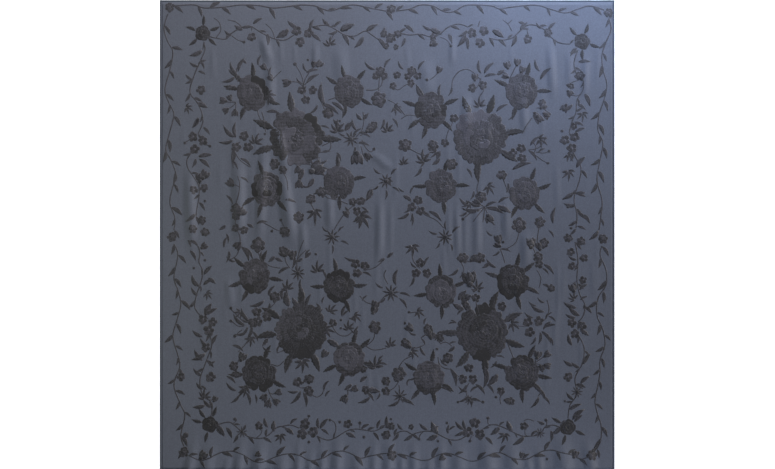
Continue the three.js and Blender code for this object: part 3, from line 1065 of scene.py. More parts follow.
# Vines of the inner border
inner_vines = [
    [(207, 36), (216, 38), (226, 39), (232, 33), (241, 28), (250, 26), (262, 33), (275, 39), (285, 40),
     (294, 35)],
    [(312, 27), (325, 25), (333, 28), (338, 31), (345, 35), (355, 36), (365, 31), (372, 35), (382, 42)],
    [(399, 33), (410, 35), (420, 34), (432, 37), (440, 34), (447, 28), (458, 24), (468, 27)],
    [(489, 38), (500, 40), (512, 38), (520, 31), (528, 25), (538, 26), (546, 31), (552, 38), (560, 43),
     (570, 44)],
    [(204, 42), (205, 50), (200, 62), (194, 76), (190, 92), (197, 102), (201, 110), (203, 122), (198, 134)],
    [(191, 153), (187, 160), (188, 168), (193, 176), (199, 186), (199, 198), (197, 208), (196, 216)],
    [(188, 240), (198, 246), (200, 255), (199, 262), (203, 272), (200, 285), (196, 297), (195, 308),
     (202, 317)],
    [(209, 333), (212, 345), (206, 362), (200, 380), (203, 395), (211, 402), (212, 412), (210, 418)],
    [(578, 50), (575, 58), (574, 65), (577, 75), (583, 80), (583, 90), (577, 100), (576, 112), (572, 122),
     (569, 133)],
    [(573, 152), (576, 158), (581, 167), (580, 178), (577, 188), (574, 200), (577, 215), (576, 228)],
    [(575, 242), (577, 252), (578, 262), (577, 280), (580, 295), (585, 305), (583, 316), (578, 322)],
    [(578, 334), (584, 348), (582, 364), (575, 378), (577, 394), (570, 405), (568, 418)],
    [(216, 425), (228, 422), (233, 424), (240, 430), (247, 436), (255, 438), (263, 438), (270, 434),
     (276, 428), (283, 426), (291, 425), (299, 428)],
    [(317, 436), (327, 440), (335, 438), (343, 433), (349, 430), (356, 429), (365, 430), (374, 431),
     (384, 427)],
    [(394, 436), (399, 432), (406, 431), (412, 434), (420, 432), (430, 431), (438, 434), (448, 439),
     (458, 440), (466, 436)],
    [(483, 429), (490, 425), (497, 425), (507, 429), (515, 433), (522, 436), (530, 436), (540, 434),
     (545, 427), (552, 425), (560, 427)],
]
# Stalks of the field's sprigs
field_stems = [
    [(238, 82), (236, 74), (238, 66), (244, 60)], [(236, 102), (228, 102), (220, 100)],
    [(236, 102), (233, 106), (226, 110)], [(236, 103), (236, 109), (235, 114)],
    [(270, 78), (268, 70), (263, 64)], [(272, 80), (276, 76), (281, 71)],
    [(303, 86), (303, 80), (300, 72), (295, 64)], [(303, 86), (306, 78), (311, 70), (319, 63)],
    [(303, 86), (308, 82), (314, 77), (319, 74)], [(303, 86), (297, 82), (290, 82), (284, 83)],
    [(306, 86), (304, 94), (306, 100)], [(262, 112), (264, 120), (265, 128), (266, 132)],
    [(257, 108), (259, 116), (262, 122)], [(340, 96), (334, 98), (328, 100)],
    [(366, 90), (374, 90), (381, 86), (383, 78)], [(362, 140), (366, 148), (371, 152), (374, 149)],
    [(356, 137), (362, 130), (364, 120), (363, 112)], [(360, 136), (366, 132), (372, 129)],
    [(361, 146), (363, 154), (366, 159)], [(336, 139), (330, 142), (322, 146)],
    [(328, 113), (324, 108), (321, 100)], [(330, 138), (331, 147), (327, 152), (320, 152)],
    [(240, 142), (234, 148), (232, 158), (234, 168)], [(234, 150), (240, 160), (250, 167)],
    [(236, 205), (239, 194), (240, 184), (238, 176)], [(228, 181), (234, 184), (240, 187)],
    [(236, 218), (236, 226), (240, 236), (240, 246)], [(240, 248), (236, 256), (229, 260)],
    [(258, 252), (262, 260), (270, 266), (280, 268)], [(285, 232), (277, 230), (270, 226), (262, 222)],
    [(281, 220), (284, 226), (286, 232)], [(298, 273), (297, 262), (300, 250), (304, 240)],
    [(285, 256), (286, 262), (290, 268)], [(353, 206), (346, 212), (340, 220), (334, 230)],
    [(357, 215), (360, 220), (363, 222)], [(322, 192), (328, 198), (338, 200), (348, 204)],
    [(379, 92), (379, 84), (380, 76)], [(405, 115), (401, 110), (396, 104), (388, 100)],
    [(411, 82), (404, 86), (398, 90), (393, 86)], [(405, 145), (412, 150), (420, 154), (428, 156)],
    [(481, 78), (478, 86), (474, 90)], [(481, 80), (470, 70), (460, 71), (453, 79), (452, 88)],
    [(440, 68), (437, 74), (430, 80)], [(480, 96), (484, 90), (483, 85)],
    [(445, 143), (448, 132), (452, 124), (454, 118)], [(510, 78), (514, 70), (518, 62)],
    [(523, 68), (522, 76), (520, 84)], [(536, 108), (542, 108), (548, 112)],
    [(533, 112), (537, 118), (541, 122)], [(528, 150), (538, 148), (544, 142), (545, 138)],
    [(536, 152), (544, 153), (549, 151)], [(534, 154), (542, 160), (548, 163)],
    [(502, 175), (505, 184), (508, 192)], [(418, 206), (424, 214), (436, 220), (444, 228)],
    [(485, 207), (478, 203), (475, 200)], [(485, 207), (479, 214), (473, 222)],
    [(485, 207), (484, 215), (483, 222)], [(485, 207), (488, 215), (490, 222)],
    [(485, 207), (472, 212), (463, 219)], [(519, 232), (516, 242), (508, 248), (500, 249)],
    [(500, 249), (503, 256), (505, 263)], [(530, 240), (533, 248), (537, 256)],
    [(540, 222), (538, 234), (537, 246)], [(420, 268), (414, 262), (412, 254)],
    [(463, 258), (470, 262), (476, 258)], [(365, 270), (374, 268), (382, 262)],
    [(275, 303), (268, 310), (262, 314)], [(288, 284), (282, 290), (278, 294)],
    [(244, 326), (238, 326), (232, 321)], [(242, 330), (238, 333), (235, 336)],
    [(244, 322), (236, 314), (231, 309)], [(252, 330), (250, 338), (244, 346), (238, 352)],
    [(234, 370), (238, 362), (240, 356)], [(262, 368), (270, 364), (278, 366), (284, 361)],
    [(277, 353), (284, 350), (290, 344)], [(309, 386), (302, 388), (296, 384)],
    [(309, 392), (316, 397), (322, 394), (326, 384)], [(269, 392), (272, 394), (276, 393), (281, 393)],
    [(268, 388), (271, 396), (277, 403)], [(270, 398), (268, 404), (267, 408)],
    [(347, 388), (348, 394), (345, 400)], [(347, 390), (352, 390), (357, 388)],
    [(333, 327), (338, 334), (346, 336), (352, 332)], [(375, 333), (373, 340), (366, 346)],
    [(385, 296), (378, 304), (374, 310)], [(476, 302), (478, 310), (480, 318)],
    [(438, 357), (439, 363), (444, 368), (451, 369)], [(421, 338), (426, 334), (430, 330)],
    [(424, 345), (416, 348), (408, 346)], [(399, 381), (394, 388), (388, 391)],
    [(399, 367), (404, 360), (412, 356)], [(469, 383), (466, 390), (468, 398)],
    [(452, 370), (458, 376), (464, 378)], [(535, 363), (536, 358), (539, 352)],
    [(535, 363), (542, 358), (549, 353)], [(535, 363), (542, 365), (550, 366)],
    [(547, 300), (549, 308), (547, 317), (542, 322)], [(515, 326), (522, 326), (528, 326)],
    [(503, 392), (500, 398), (501, 404)], [(538, 396), (541, 392), (540, 388)],
    [(399, 385), (400, 392), (400, 398)], [(311, 204), (316, 214), (315, 226)],
    [(283, 172), (287, 180), (288, 190)], [(301, 178), (300, 186)], [(532, 118), (526, 126), (522, 134)],
    [(532, 141), (536, 147), (534, 153)], [(496, 118), (499, 124), (503, 130)],
    [(401, 119), (408, 115), (416, 116)], [(479, 180), (477, 190), (480, 198)],
    [(366, 346), (374, 350), (386, 348)], [(360, 296), (366, 302), (372, 304)],
    [(296, 262), (300, 256), (306, 250)], [(508, 344), (512, 354), (516, 364)],
    [(537, 270), (541, 278), (539, 288)], [(461, 262), (464, 270), (460, 278)],
    [(386, 270), (384, 276), (388, 284)], [(409, 313), (416, 312), (422, 314)],
    [(440, 344), (446, 342), (452, 346)],
]
# Short stalks of the borders
border_stems = [
    [(233, 424), (236, 421), (237, 419)], [(262, 430), (261, 434), (256, 438)],
    [(525, 430), (525, 434), (527, 436)], [(419, 439), (420, 435), (423, 432)],
    [(309, 416), (308, 419), (308, 422)], [(488, 418), (488, 423), (490, 425)],
    [(546, 420), (547, 423), (546, 426)], [(333, 438), (336, 430), (335, 423), (331, 420)],
    [(524, 421), (528, 419), (534, 421)], [(360, 424), (360, 428)], [(470, 441), (471, 437), (474, 435)],
    [(252, 31), (252, 27)], [(528, 35), (527, 29)], [(331, 40), (334, 34), (337, 31)],
    [(244, 42), (238, 40), (232, 36)], [(451, 46), (447, 40), (440, 37)],
    [(185, 143), (189, 140), (193, 138)], [(210, 146), (205, 144), (202, 142)],
    [(200, 174), (199, 180), (200, 186)], [(206, 172), (202, 178), (200, 184)],
    [(568, 85), (573, 82), (579, 80)], [(572, 95), (577, 96), (580, 94)],
    [(571, 285), (574, 283), (577, 281)], [(568, 207), (571, 205), (575, 204)],
    [(215, 398), (211, 400), (207, 399)], [(243, 28), (236, 22), (228, 20)],
    [(216, 38), (221, 30), (219, 22), (214, 18)], [(275, 39), (272, 30), (266, 24)],
    [(512, 31), (508, 24), (503, 20)], [(508, 24), (512, 20)], [(478, 27), (480, 21)],
]

# Slim leaves from foot to tip: foot_x, foot_y, tip_x, tip_y
field_slim = [
    # round the upper left peony
    (238, 72, 246, 57), (236, 76, 221, 82), (238, 76, 230, 61), (238, 76, 228, 68), (266, 112, 281, 114),
    (307, 72, 303, 62), (306, 73, 319, 70), (306, 84, 320, 74), (303, 84, 296, 77), (321, 104, 339, 115),
    (325, 106, 322, 81), (318, 104, 309, 114), (320, 126, 330, 129), (357, 131, 352, 118),
    (358, 132, 371, 138), (357, 143, 370, 146), (355, 146, 352, 156), (322, 152, 331, 152),
    (311, 160, 321, 158), (336, 152, 341, 162), (236, 138, 223, 124), (236, 138, 236, 121),
    (234, 140, 218, 142), (233, 148, 232, 164), (231, 160, 238, 170), (240, 158, 251, 167),
    (240, 177, 249, 183), (226, 195, 233, 205), (226, 233, 228, 244), (229, 250, 226, 263),
    (243, 247, 253, 260), (241, 246, 249, 262), (256, 224, 269, 222), (294, 255, 292, 269),
    (278, 274, 291, 267), (345, 206, 348, 219), (361, 207, 369, 214), (328, 232, 322, 226),
    (338, 232, 345, 226), (340, 241, 349, 245), (332, 244, 332, 254), (353, 135, 363, 128),
    (346, 136, 338, 132),
    # upper middle
    (376, 70, 364, 61), (384, 68, 392, 58), (418, 70, 426, 60), (404, 70, 398, 60), (381, 174, 373, 167),
    (391, 175, 398, 168), (379, 185, 371, 190), (392, 187, 400, 193), (386, 189, 385, 200),
    (384, 118, 380, 130), (392, 118, 398, 128),
    # round the upper right peony
    (481, 74, 479, 59), (484, 74, 495, 62), (484, 77, 498, 75), (540, 80, 553, 67), (540, 72, 535, 58),
    (515, 112, 508, 120), (530, 146, 541, 136), (528, 150, 537, 161), (538, 153, 546, 148),
    (466, 168, 472, 178), (440, 150, 436, 160), (508, 182, 506, 193), (411, 207, 403, 213),
    (412, 212, 410, 222), (422, 212, 431, 218), (412, 202, 406, 194), (485, 207, 498, 202),
    (485, 208, 504, 214), (482, 206, 467, 200), (482, 209, 461, 208), (446, 230, 446, 220),
    (452, 233, 461, 226), (438, 234, 428, 230), (440, 242, 435, 249), (450, 243, 452, 252),
    (500, 249, 511, 252), (500, 250, 492, 256), (542, 268, 549, 275), (548, 230, 554, 238),
    (452, 86, 448, 96), (424, 158, 420, 168), (474, 190, 470, 200), (493, 236, 486, 230),
    # middle and lower quarters
    (417, 268, 410, 261), (424, 266, 430, 256), (414, 276, 409, 287), (357, 260, 344, 257),
    (362, 272, 372, 277), (268, 296, 276, 285), (265, 300, 249, 306), (270, 302, 266, 312),
    (316, 303, 321, 314), (322, 304, 325, 296), (250, 322, 241, 307), (248, 326, 240, 336),
    (252, 325, 246, 340), (277, 353, 281, 344), (272, 352, 262, 346), (323, 390, 330, 380),
    (325, 397, 331, 390), (348, 318, 356, 322), (343, 316, 350, 310), (362, 301, 368, 295),
    (399, 293, 411, 297), (399, 298, 407, 309), (396, 286, 397, 271), (386, 297, 378, 303),
    (384, 288, 375, 282), (457, 315, 465, 309), (450, 320, 457, 324), (424, 325, 427, 317),
    (417, 335, 408, 331), (421, 338, 425, 346), (449, 344, 457, 342), (448, 366, 440, 358),
    (450, 368, 456, 387), (485, 366, 483, 389), (467, 384, 458, 394), (475, 384, 485, 395),
    (543, 328, 557, 325), (541, 331, 551, 344), (540, 331, 538, 345), (537, 306, 528, 301),
    (545, 303, 537, 297), (496, 356, 505, 358), (548, 316, 556, 322), (255, 394, 256, 404),
    (240, 394, 230, 403), (237, 391, 226, 382), (246, 392, 250, 406), (301, 390, 290, 404),
    (303, 392, 306, 408), (299, 391, 287, 391), (303, 384, 310, 376), (400, 400, 387, 406),
    (400, 400, 415, 406), (407, 386, 410, 378), (468, 396, 458, 402), (469, 396, 471, 408),
    (380, 392, 376, 400), (366, 392, 374, 402), (539, 396, 530, 408), (542, 396, 550, 405),
    (486, 384, 494, 394), (468, 400, 482, 402), (497, 360, 490, 368), (378, 362, 384, 355),
    (377, 364, 388, 365), (270, 78, 272, 66), (258, 66, 262, 54), (331, 102, 345, 114),
    (341, 104, 351, 108), (358, 152, 356, 165), (300, 163, 312, 166), (284, 200, 297, 203),
    (309, 187, 300, 184), (553, 224, 556, 206), (512, 170, 533, 163), (496, 112, 509, 104),
    (440, 98, 441, 83), (424, 98, 416, 85), (422, 166, 414, 177), (428, 211, 442, 222),
    (410, 212, 397, 219), (411, 214, 412, 226), (470, 206, 459, 197), (468, 211, 458, 216),
    (498, 203, 510, 197), (484, 218, 495, 226), (405, 192, 398, 187), (410, 194, 415, 186),
    (224, 248, 228, 236), (236, 262, 226, 256), (262, 262, 262, 250), (302, 292, 301, 278),
    (306, 309, 312, 293), (316, 316, 324, 309), (332, 298, 327, 284), (282, 300, 285, 286),
    (290, 302, 287, 288), (305, 256, 311, 249), (322, 270, 326, 280), (371, 396, 357, 403),
    (357, 334, 350, 328), (355, 338, 359, 325), (342, 317, 347, 304), (394, 284, 399, 268),
    (459, 268, 448, 276), (465, 310, 468, 295), (440, 344, 442, 333), (448, 324, 456, 323),
    (543, 264, 554, 275), (542, 284, 553, 291), (468, 392, 458, 386), (470, 392, 480, 386),
    (417, 376, 408, 380), (497, 268, 486, 258), (426, 356, 420, 345), (246, 326, 233, 313),
    (250, 322, 240, 318), (247, 332, 234, 334), (252, 331, 258, 342), (232, 345, 244, 352),
    (545, 312, 530, 304), (543, 330, 552, 321), (545, 318, 553, 312), (536, 336, 530, 345),
    (548, 336, 553, 346), (534, 318, 524, 312), (536, 388, 546, 401), (530, 384, 541, 393),
    (440, 387, 452, 393), (226, 376, 236, 384),
]
field_broad = [
    (242, 60, 247, 64), (236, 86, 225, 89), (345, 131, 353, 121), (340, 126, 333, 119),
    (275, 258, 283, 262), (275, 256, 268, 262), (362, 120, 356, 113), (363, 120, 369, 113),
    (303, 258, 296, 262), (305, 258, 312, 252), (385, 258, 378, 262), (387, 258, 394, 252),
    (247, 224, 254, 228), (226, 225, 219, 230), (440, 158, 432, 165), (497, 75, 505, 70),
    (285, 340, 292, 346), (327, 340, 340, 348), (268, 338, 262, 346), (455, 346, 448, 352),
    (360, 382, 368, 376), (352, 384, 344, 390), (490, 262, 482, 268), (524, 104, 532, 98),
    (312, 166, 325, 176), (303, 168, 298, 181), (314, 178, 307, 188), (372, 188, 366, 201),
    (497, 206, 511, 213), (446, 160, 456, 168), (403, 196, 412, 200), (289, 307, 285, 291),
    (366, 390, 381, 392), (299, 307, 292, 297), (464, 309, 452, 303), (498, 374, 487, 386),
    (458, 300, 467, 290),
]
border_slim = [
    # top
    (267, 33, 268, 46), (342, 33, 349, 46), (366, 32, 379, 24), (385, 27, 380, 35), (404, 25, 414, 33),
    (405, 37, 401, 47), (466, 33, 457, 47), (466, 36, 467, 49), (518, 22, 527, 26), (516, 34, 511, 47),
    (338, 31, 328, 34), (449, 34, 452, 42), (232, 36, 224, 30), (330, 26, 322, 18), (548, 30, 556, 22),
    (498, 39, 506, 47),
    # left
    (190, 93, 185, 102), (199, 117, 193, 128), (203, 127, 210, 135), (198, 157, 213, 155),
    (196, 158, 192, 168), (199, 159, 210, 168), (199, 202, 205, 211), (196, 213, 185, 222),
    (190, 240, 198, 245), (190, 250, 196, 261), (204, 275, 213, 265), (200, 287, 193, 278),
    (203, 285, 214, 279), (206, 405, 192, 407), (196, 300, 188, 308), (212, 345, 218, 334),
    (206, 360, 214, 368), (202, 376, 193, 368), (203, 390, 196, 382), (198, 64, 207, 60),
    (193, 80, 185, 74),
    # right
    (578, 62, 591, 62), (584, 93, 590, 107), (570, 193, 562, 200), (577, 194, 586, 197),
    (583, 214, 590, 224), (577, 68, 570, 74), (577, 104, 586, 110), (574, 122, 584, 126),
    (577, 226, 586, 230), (577, 260, 568, 256), (579, 290, 588, 284), (584, 306, 592, 314),
    (580, 368, 571, 362), (576, 384, 586, 388), (574, 400, 566, 392), (569, 410, 582, 404),
    # bottom
    (226, 427, 232, 439), (290, 424, 298, 418), (263, 438, 272, 443), (319, 429, 318, 417),
    (320, 429, 329, 418), (321, 429, 329, 435), (361, 429, 370, 424), (373, 432, 379, 441),
    (377, 429, 381, 419), (379, 429, 386, 425), (388, 429, 387, 415), (403, 430, 397, 423),
    (399, 433, 392, 441), (413, 434, 403, 441), (428, 430, 419, 423), (464, 430, 455, 421),
    (466, 430, 463, 419), (464, 431, 454, 436), (485, 437, 493, 445), (525, 436, 512, 445),
    (551, 430, 551, 442), (448, 434, 449, 424), (449, 430, 456, 426), (246, 424, 241, 432),
    (203, 50, 189, 56), (199, 67, 189, 62), (198, 71, 206, 75), (198, 117, 192, 128), (253, 24, 263, 18),
    (298, 28, 287, 20), (310, 30, 314, 19), (311, 34, 321, 42), (334, 27, 342, 21), (364, 36, 354, 48),
    (378, 38, 386, 50), (330, 46, 322, 42), (573, 104, 562, 111), (576, 112, 584, 108),
    (575, 132, 586, 128), (576, 168, 586, 156), (574, 192, 562, 199), (575, 194, 586, 193),
    (576, 206, 563, 203), (577, 212, 586, 220), (577, 220, 568, 226), (468, 30, 458, 37),
    (466, 40, 468, 50), (432, 30, 422, 25), (520, 30, 528, 22), (541, 29, 536, 22), (448, 34, 452, 44),
    (207, 315, 218, 308), (198, 296, 191, 287), (203, 337, 192, 330), (206, 353, 191, 360),
    (203, 361, 194, 349), (207, 346, 200, 338), (209, 366, 216, 361), (212, 408, 203, 399),
    (214, 424, 225, 436), (268, 428, 264, 417), (238, 434, 233, 443), (197, 287, 192, 274),
    (577, 308, 563, 302), (580, 316, 568, 306), (576, 318, 565, 314), (572, 346, 568, 333),
    (574, 366, 563, 360), (583, 365, 591, 353), (580, 384, 590, 376), (572, 420, 585, 409),
    (580, 300, 588, 296),
]
border_broad = [
    (289, 29, 276, 38), (340, 31, 355, 24), (430, 29, 442, 35), (492, 30, 504, 38), (197, 103, 208, 108),
    (285, 428, 294, 435), (274, 432, 274, 420), (346, 433, 356, 438), (438, 434, 431, 421),
    (438, 435, 426, 440), (500, 427, 490, 435), (512, 432, 507, 420), (561, 427, 553, 433),
    (208, 278, 216, 284), (243, 30, 234, 25), (580, 330, 589, 336), (545, 424, 537, 421),
    (205, 316, 212, 303),
]
# Buds and cups on their stalks, foot to tip of the cup
tulips = [
    (226, 101, 218, 100), (231, 100, 228, 94), (228, 109, 222, 113), (235, 110, 235, 118),
    (265, 69, 261, 63), (272, 80, 268, 74), (313, 66, 315, 60), (318, 66, 323, 60), (290, 82, 281, 84),
    (273, 160, 276, 168), (298, 167, 298, 175), (299, 181, 299, 190), (240, 243, 234, 250),
    (284, 256, 280, 250), (286, 255, 291, 248), (367, 131, 375, 126), (366, 154, 371, 161),
    (438, 72, 441, 65), (475, 80, 475, 72), (508, 68, 506, 60), (517, 65, 518, 57), (521, 72, 524, 65),
    (508, 77, 501, 74), (541, 108, 547, 103), (535, 113, 538, 120), (544, 113, 551, 118),
    (537, 116, 542, 124), (479, 203, 473, 198), (488, 215, 491, 224), (499, 242, 497, 233),
    (500, 246, 493, 242), (533, 245, 529, 237), (540, 249, 538, 240), (471, 260, 478, 256),
    (241, 360, 245, 351), (373, 313, 376, 305), (323, 356, 328, 349), (430, 336, 427, 326),
    (431, 338, 436, 331), (410, 347, 403, 341), (537, 358, 539, 349), (545, 356, 551, 351),
    (545, 365, 552, 367), (540, 366, 546, 371), (431, 45, 438, 40), (568, 91, 573, 97),
    (566, 105, 562, 113), (574, 291, 571, 282), (202, 248, 208, 243), (200, 181, 200, 171),
    (203, 178, 208, 169), (276, 393, 283, 391), (274, 400, 280, 405), (269, 401, 267, 409),
    (266, 395, 261, 402), (346, 396, 342, 404), (352, 390, 359, 387), (233, 185, 226, 179),
    (521, 457, 523, 451), (201, 458, 207, 450), (256, 455, 262, 452), (440, 459, 446, 455),
    (574, 457, 577, 449), (412, 330, 405, 324), (344, 212, 350, 216), (470, 296, 463, 299),
    (505, 400, 512, 402), (240, 214, 247, 208), (214, 401, 217, 395), (357, 153, 357, 167),
    (312, 171, 326, 163), (374, 308, 377, 299), (292, 258, 293, 248), (470, 284, 468, 268),
    (531, 247, 531, 236),
]
# Small round flowers: middle_x, middle_y, radius in pixels
blossoms = [
    (302, 90, 4), (313, 90, 4), (306, 100, 4), (244, 136, 4.4), (236, 147, 4.4), (248, 147, 4.4),
    (236, 228, 3.8), (244, 230, 3.8), (353, 202, 4), (361, 201, 4), (357, 211, 4), (376, 76, 3.6),
    (384, 76, 3.6), (397, 75, 3.6), (408, 76, 3.6), (418, 76, 3.6), (411, 83, 3.6), (393, 86, 3.4),
    (472, 88, 4), (483, 85, 4), (454, 118, 4), (521, 148, 4.2), (513, 153, 4.2), (522, 158, 4.2),
    (445, 143, 3.8), (418, 200, 4.2), (412, 207, 4.2), (421, 211, 4.2), (539, 264, 4), (420, 263, 4.2),
    (416, 273, 4.2), (427, 273, 4.2), (356, 264, 4.2), (365, 266, 4.2), (357, 273, 4.2), (257, 312, 4.4),
    (267, 317, 4.4), (258, 321, 4.4), (298, 382, 4.4), (309, 391, 4.6), (333, 323, 3.8), (476, 298, 4),
    (502, 306, 4.2), (469, 368, 4.2), (463, 379, 4.2), (473, 379, 4.2), (528, 322, 4.4), (539, 321, 4.4),
    (530, 332, 4.6), (501, 391, 3.8), (511, 401, 3.6), (386, 391, 4), (366, 390, 4), (297, 31, 4.4),
    (309, 33, 4.4), (300, 42, 4.4), (472, 33, 4.4), (484, 31, 4.4), (480, 43, 4.4), (252, 37, 4),
    (528, 39, 4), (193, 137, 4.4), (203, 141, 4.4), (195, 149, 4.4), (204, 188, 3.8), (194, 190, 3.8),
    (203, 319, 4.2), (213, 322, 4.2), (209, 330, 5), (565, 140, 4.4), (575, 137, 4.4), (572, 148, 4.4),
    (572, 323, 4.2), (582, 326, 4.2), (575, 334, 4.2), (571, 252, 3.8), (584, 258, 3.8), (572, 266, 3.6),
    (583, 280, 3.6), (305, 424, 4.8), (302, 434, 4.8), (313, 432, 4.8), (475, 423, 4.8), (468, 432, 4.8),
    (480, 434, 4.8), (259, 426, 3.8), (524, 426, 3.8), (348, 424, 4), (411, 427, 2.6), (201, 90, 4.2),
    (386, 46, 3), (396, 47, 2.6), (574, 126, 3.4), (433, 37, 3.2), (571, 86, 3), (181, 377, 3.8),
    (211, 377, 4.6), (206, 347, 4.2), (568, 377, 4.2),
]
little_roses = [
    (328, 113, 5), (258, 245, 6.6), (299, 217, 5), (379, 99, 7), (405, 145, 6), (502, 175, 4.6),
    (519, 225, 6.6), (275, 297, 5), (234, 366, 4.4), (375, 327, 5.8), (399, 374, 6.6), (448, 358, 5),
    (236, 209, 5), (236, 216, 4), (253, 323, 4.4), (540, 222, 5), (463, 258, 5), (285, 232, 5),
    (322, 192, 5), (538, 257, 4.6), (380, 71, 4.4), (412, 71, 4.4), (548, 33, 4), (580, 76, 4.6),
    (391, 38, 4.6), (384, 34, 3.4), (398, 34, 3.4), (193, 229, 4), (202, 220, 4), (205, 232, 4),
    (568, 238, 4), (581, 241, 4), (386, 435, 4.2), (391, 426, 3.6), (388, 181, 3.4), (170, 7, 4.4),
    (609, 13, 4.4), (184, 452, 4.6), (592, 455, 4.8), (391, 9, 4.2), (172, 237, 4.4), (603, 239, 4.4),
    (392, 455, 4.6), (309, 379, 4.6), (386, 381, 4.2), (236, 374, 3.4), (373, 126, 4.4), (275, 164, 4.8),
    (311, 199, 4.6), (283, 170, 4), (433, 146, 5.2), (452, 164, 5.2), (481, 197, 5.4), (542, 103, 3.6),
    (363, 369, 3.6), (283, 250, 3.6), (480, 258, 5), (544, 243, 4.6), (428, 329, 4.4), (405, 343, 4.2),
    (440, 338, 3.6), (551, 288, 3.6),
]
dahlias = [
    (351, 139, 7.5), (332, 237, 7.5), (386, 181, 7), (445, 237, 7.5), (391, 293, 8), (298, 273, 7),
    (400, 396, 7), (469, 400, 5), (577, 392, 5.6), (242, 432, 5.4), (540, 433, 5),
]
# Leaf stars: foot_x, foot_y, tip_x, tip_y of the middle leaf
star_leaves = [
    (338, 130, 338, 118), (256, 142, 260, 132), (318, 270, 318, 259), (360, 219, 367, 225),
    (395, 108, 402, 114), (480, 105, 480, 95), (488, 187, 494, 195), (412, 247, 412, 258),
    (288, 288, 288, 278), (331, 311, 337, 304), (240, 312, 234, 318), (250, 339, 250, 348),
    (302, 362, 302, 374), (355, 316, 361, 322), (478, 288, 477, 278), (418, 312, 425, 317),
    (412, 352, 419, 358), (438, 336, 445, 341), (512, 324, 520, 330), (187, 108, 194, 112),
    (205, 397, 205, 387), (582, 114, 582, 123), (568, 155, 573, 162), (280, 436, 280, 445),
    (504, 435, 501, 444), (388, 130, 388, 120), (424, 160, 423, 148), (404, 163, 404, 155),
    (349, 328, 349, 319), (391, 345, 391, 336), (331, 44, 331, 35), (568, 172, 568, 182),
    (574, 298, 569, 292), (207, 294, 212, 300), (376, 366, 376, 354), (245, 388, 243, 398),
    (268, 96, 276, 104), (326, 330, 336, 333), (444, 300, 450, 308), (540, 140, 548, 146),
    (314, 212, 314, 224), (361, 217, 369, 229), (318, 168, 328, 160), (436, 152, 430, 158),
    (468, 204, 461, 207),
]
# Berries: middle_x, middle_y, radius in pixels
berries = [
    (295, 64, 1.8), (281, 220, 1.4), (272, 231, 1.4), (316, 254, 1.4), (427, 80, 1.6), (545, 138, 1.5),
    (549, 151, 1.5), (548, 163, 1.5), (463, 219, 1.5), (503, 242, 1.4), (231, 321, 1.6), (231, 308, 1.6),
    (235, 336, 1.6), (341, 320, 1.3), (341, 328, 1.3), (474, 291, 1.3), (479, 291, 1.3), (409, 312, 1.4),
    (405, 323, 1.4), (437, 349, 1.4), (244, 42, 1.5), (451, 46, 1.5), (185, 143, 1.5), (210, 146, 1.5),
    (205, 201, 1.4), (205, 260, 1.4), (194, 268, 1.4), (309, 416, 1.5), (309, 442, 1.5), (360, 423, 1.6),
    (364, 437, 1.6), (438, 441, 1.4), (470, 441, 1.6), (488, 418, 1.6), (546, 420, 1.6), (419, 439, 1.6),
    (374, 149, 1.6), (235, 419, 1.7), (568, 85, 1.7), (568, 207, 1.4), (571, 228, 1.4), (330, 420, 1.4),
    (340, 422, 1.6), (447, 423, 1.4), (308, 60, 1.3), (547, 459, 1.4), (496, 397, 1.4), (214, 399, 1.5),
    (483, 402, 1.5), (340, 121, 1.3), (265, 134, 1.3), (458, 402, 1.3), (391, 419, 1.3), (565, 401, 1.3),
    (562, 131, 1.6), (186, 435, 2.6),
]

chance = random.Random(2025)
grow_stems("outer_border_vine", outer_vines, vine_width)
grow_leaves("outer_border_leaves", outer_vines, 11.5, 12.5, 4)
grow_stems("inner_border_vine", inner_vines, vine_width)
grow_leaves("inner_border_leaves", inner_vines, 17, 9, 7)
grow_stems("border_stalks", border_stems, border_stalk_width)
grow_stems("field_stalks", field_stems, stalk_width)
grow_sprigs("field_slim_leaves", "slim_leaf", leaf_rows(field_slim))
grow_sprigs("field_broad_leaves", "broad_leaf", leaf_rows(field_broad))
grow_sprigs("border_slim_leaves", "border_leaf", leaf_rows(border_slim))
grow_sprigs("border_broad_leaves", "broad_leaf", leaf_rows(border_broad))
grow_sprigs("leaf_stars", "star_leaf", leaf_rows(star_leaves, 1.15))
grow_sprigs("tulip_buds", "tulip", leaf_rows(tulips, 1.05))
grow_sprigs("blossoms", "blossom", round_rows(blossoms, chance))
grow_sprigs("little_roses", "little_rose", round_rows(little_roses, chance))
grow_sprigs("dahlias", "dahlia", round_rows(dahlias, chance))
grow_sprigs("berries", "berry", round_rows(berries, chance))

# Rolled hems with their whipping
whip_pitch = 4.2 * mm
whip_slant = math.radians(62)


def whip_stitch():
    """A short bowed thread that goes over the roll."""
    half_long = 2.9 * mm
    half_wide = 0.35 * mm
    crown = hem_high / 2 + 0.3 * mm
    points = []
    for share in (-1, -0.6, 0, 0.6, 1):
        x = half_long * share
        z = crown * math.sqrt(1 - 0.72 * share * share)
        points += [(x, -half_wide, z), (x, 0, z + 0.3 * mm), (x, half_wide, z), (x, 0, z - 0.45 * mm)]
    last = len(points) - 4
    faces = [(0, 1, 2, 3), (last + 3, last + 2, last + 1, last)]
    for a in range(last):
        b = a - a % 4 + (a + 1) % 4
        faces.append((a, a + 4, b + 4, b))
    return new_object("pattern_whip_stitch", points, faces)


stitch = whip_stitch()
rolled_hems = hem_tree()
hem_step = 6 * mm
# A little wider than its solid, so that the roll takes in the cloth's edge
roll_wide = hem_wide + 3 * seam_gap


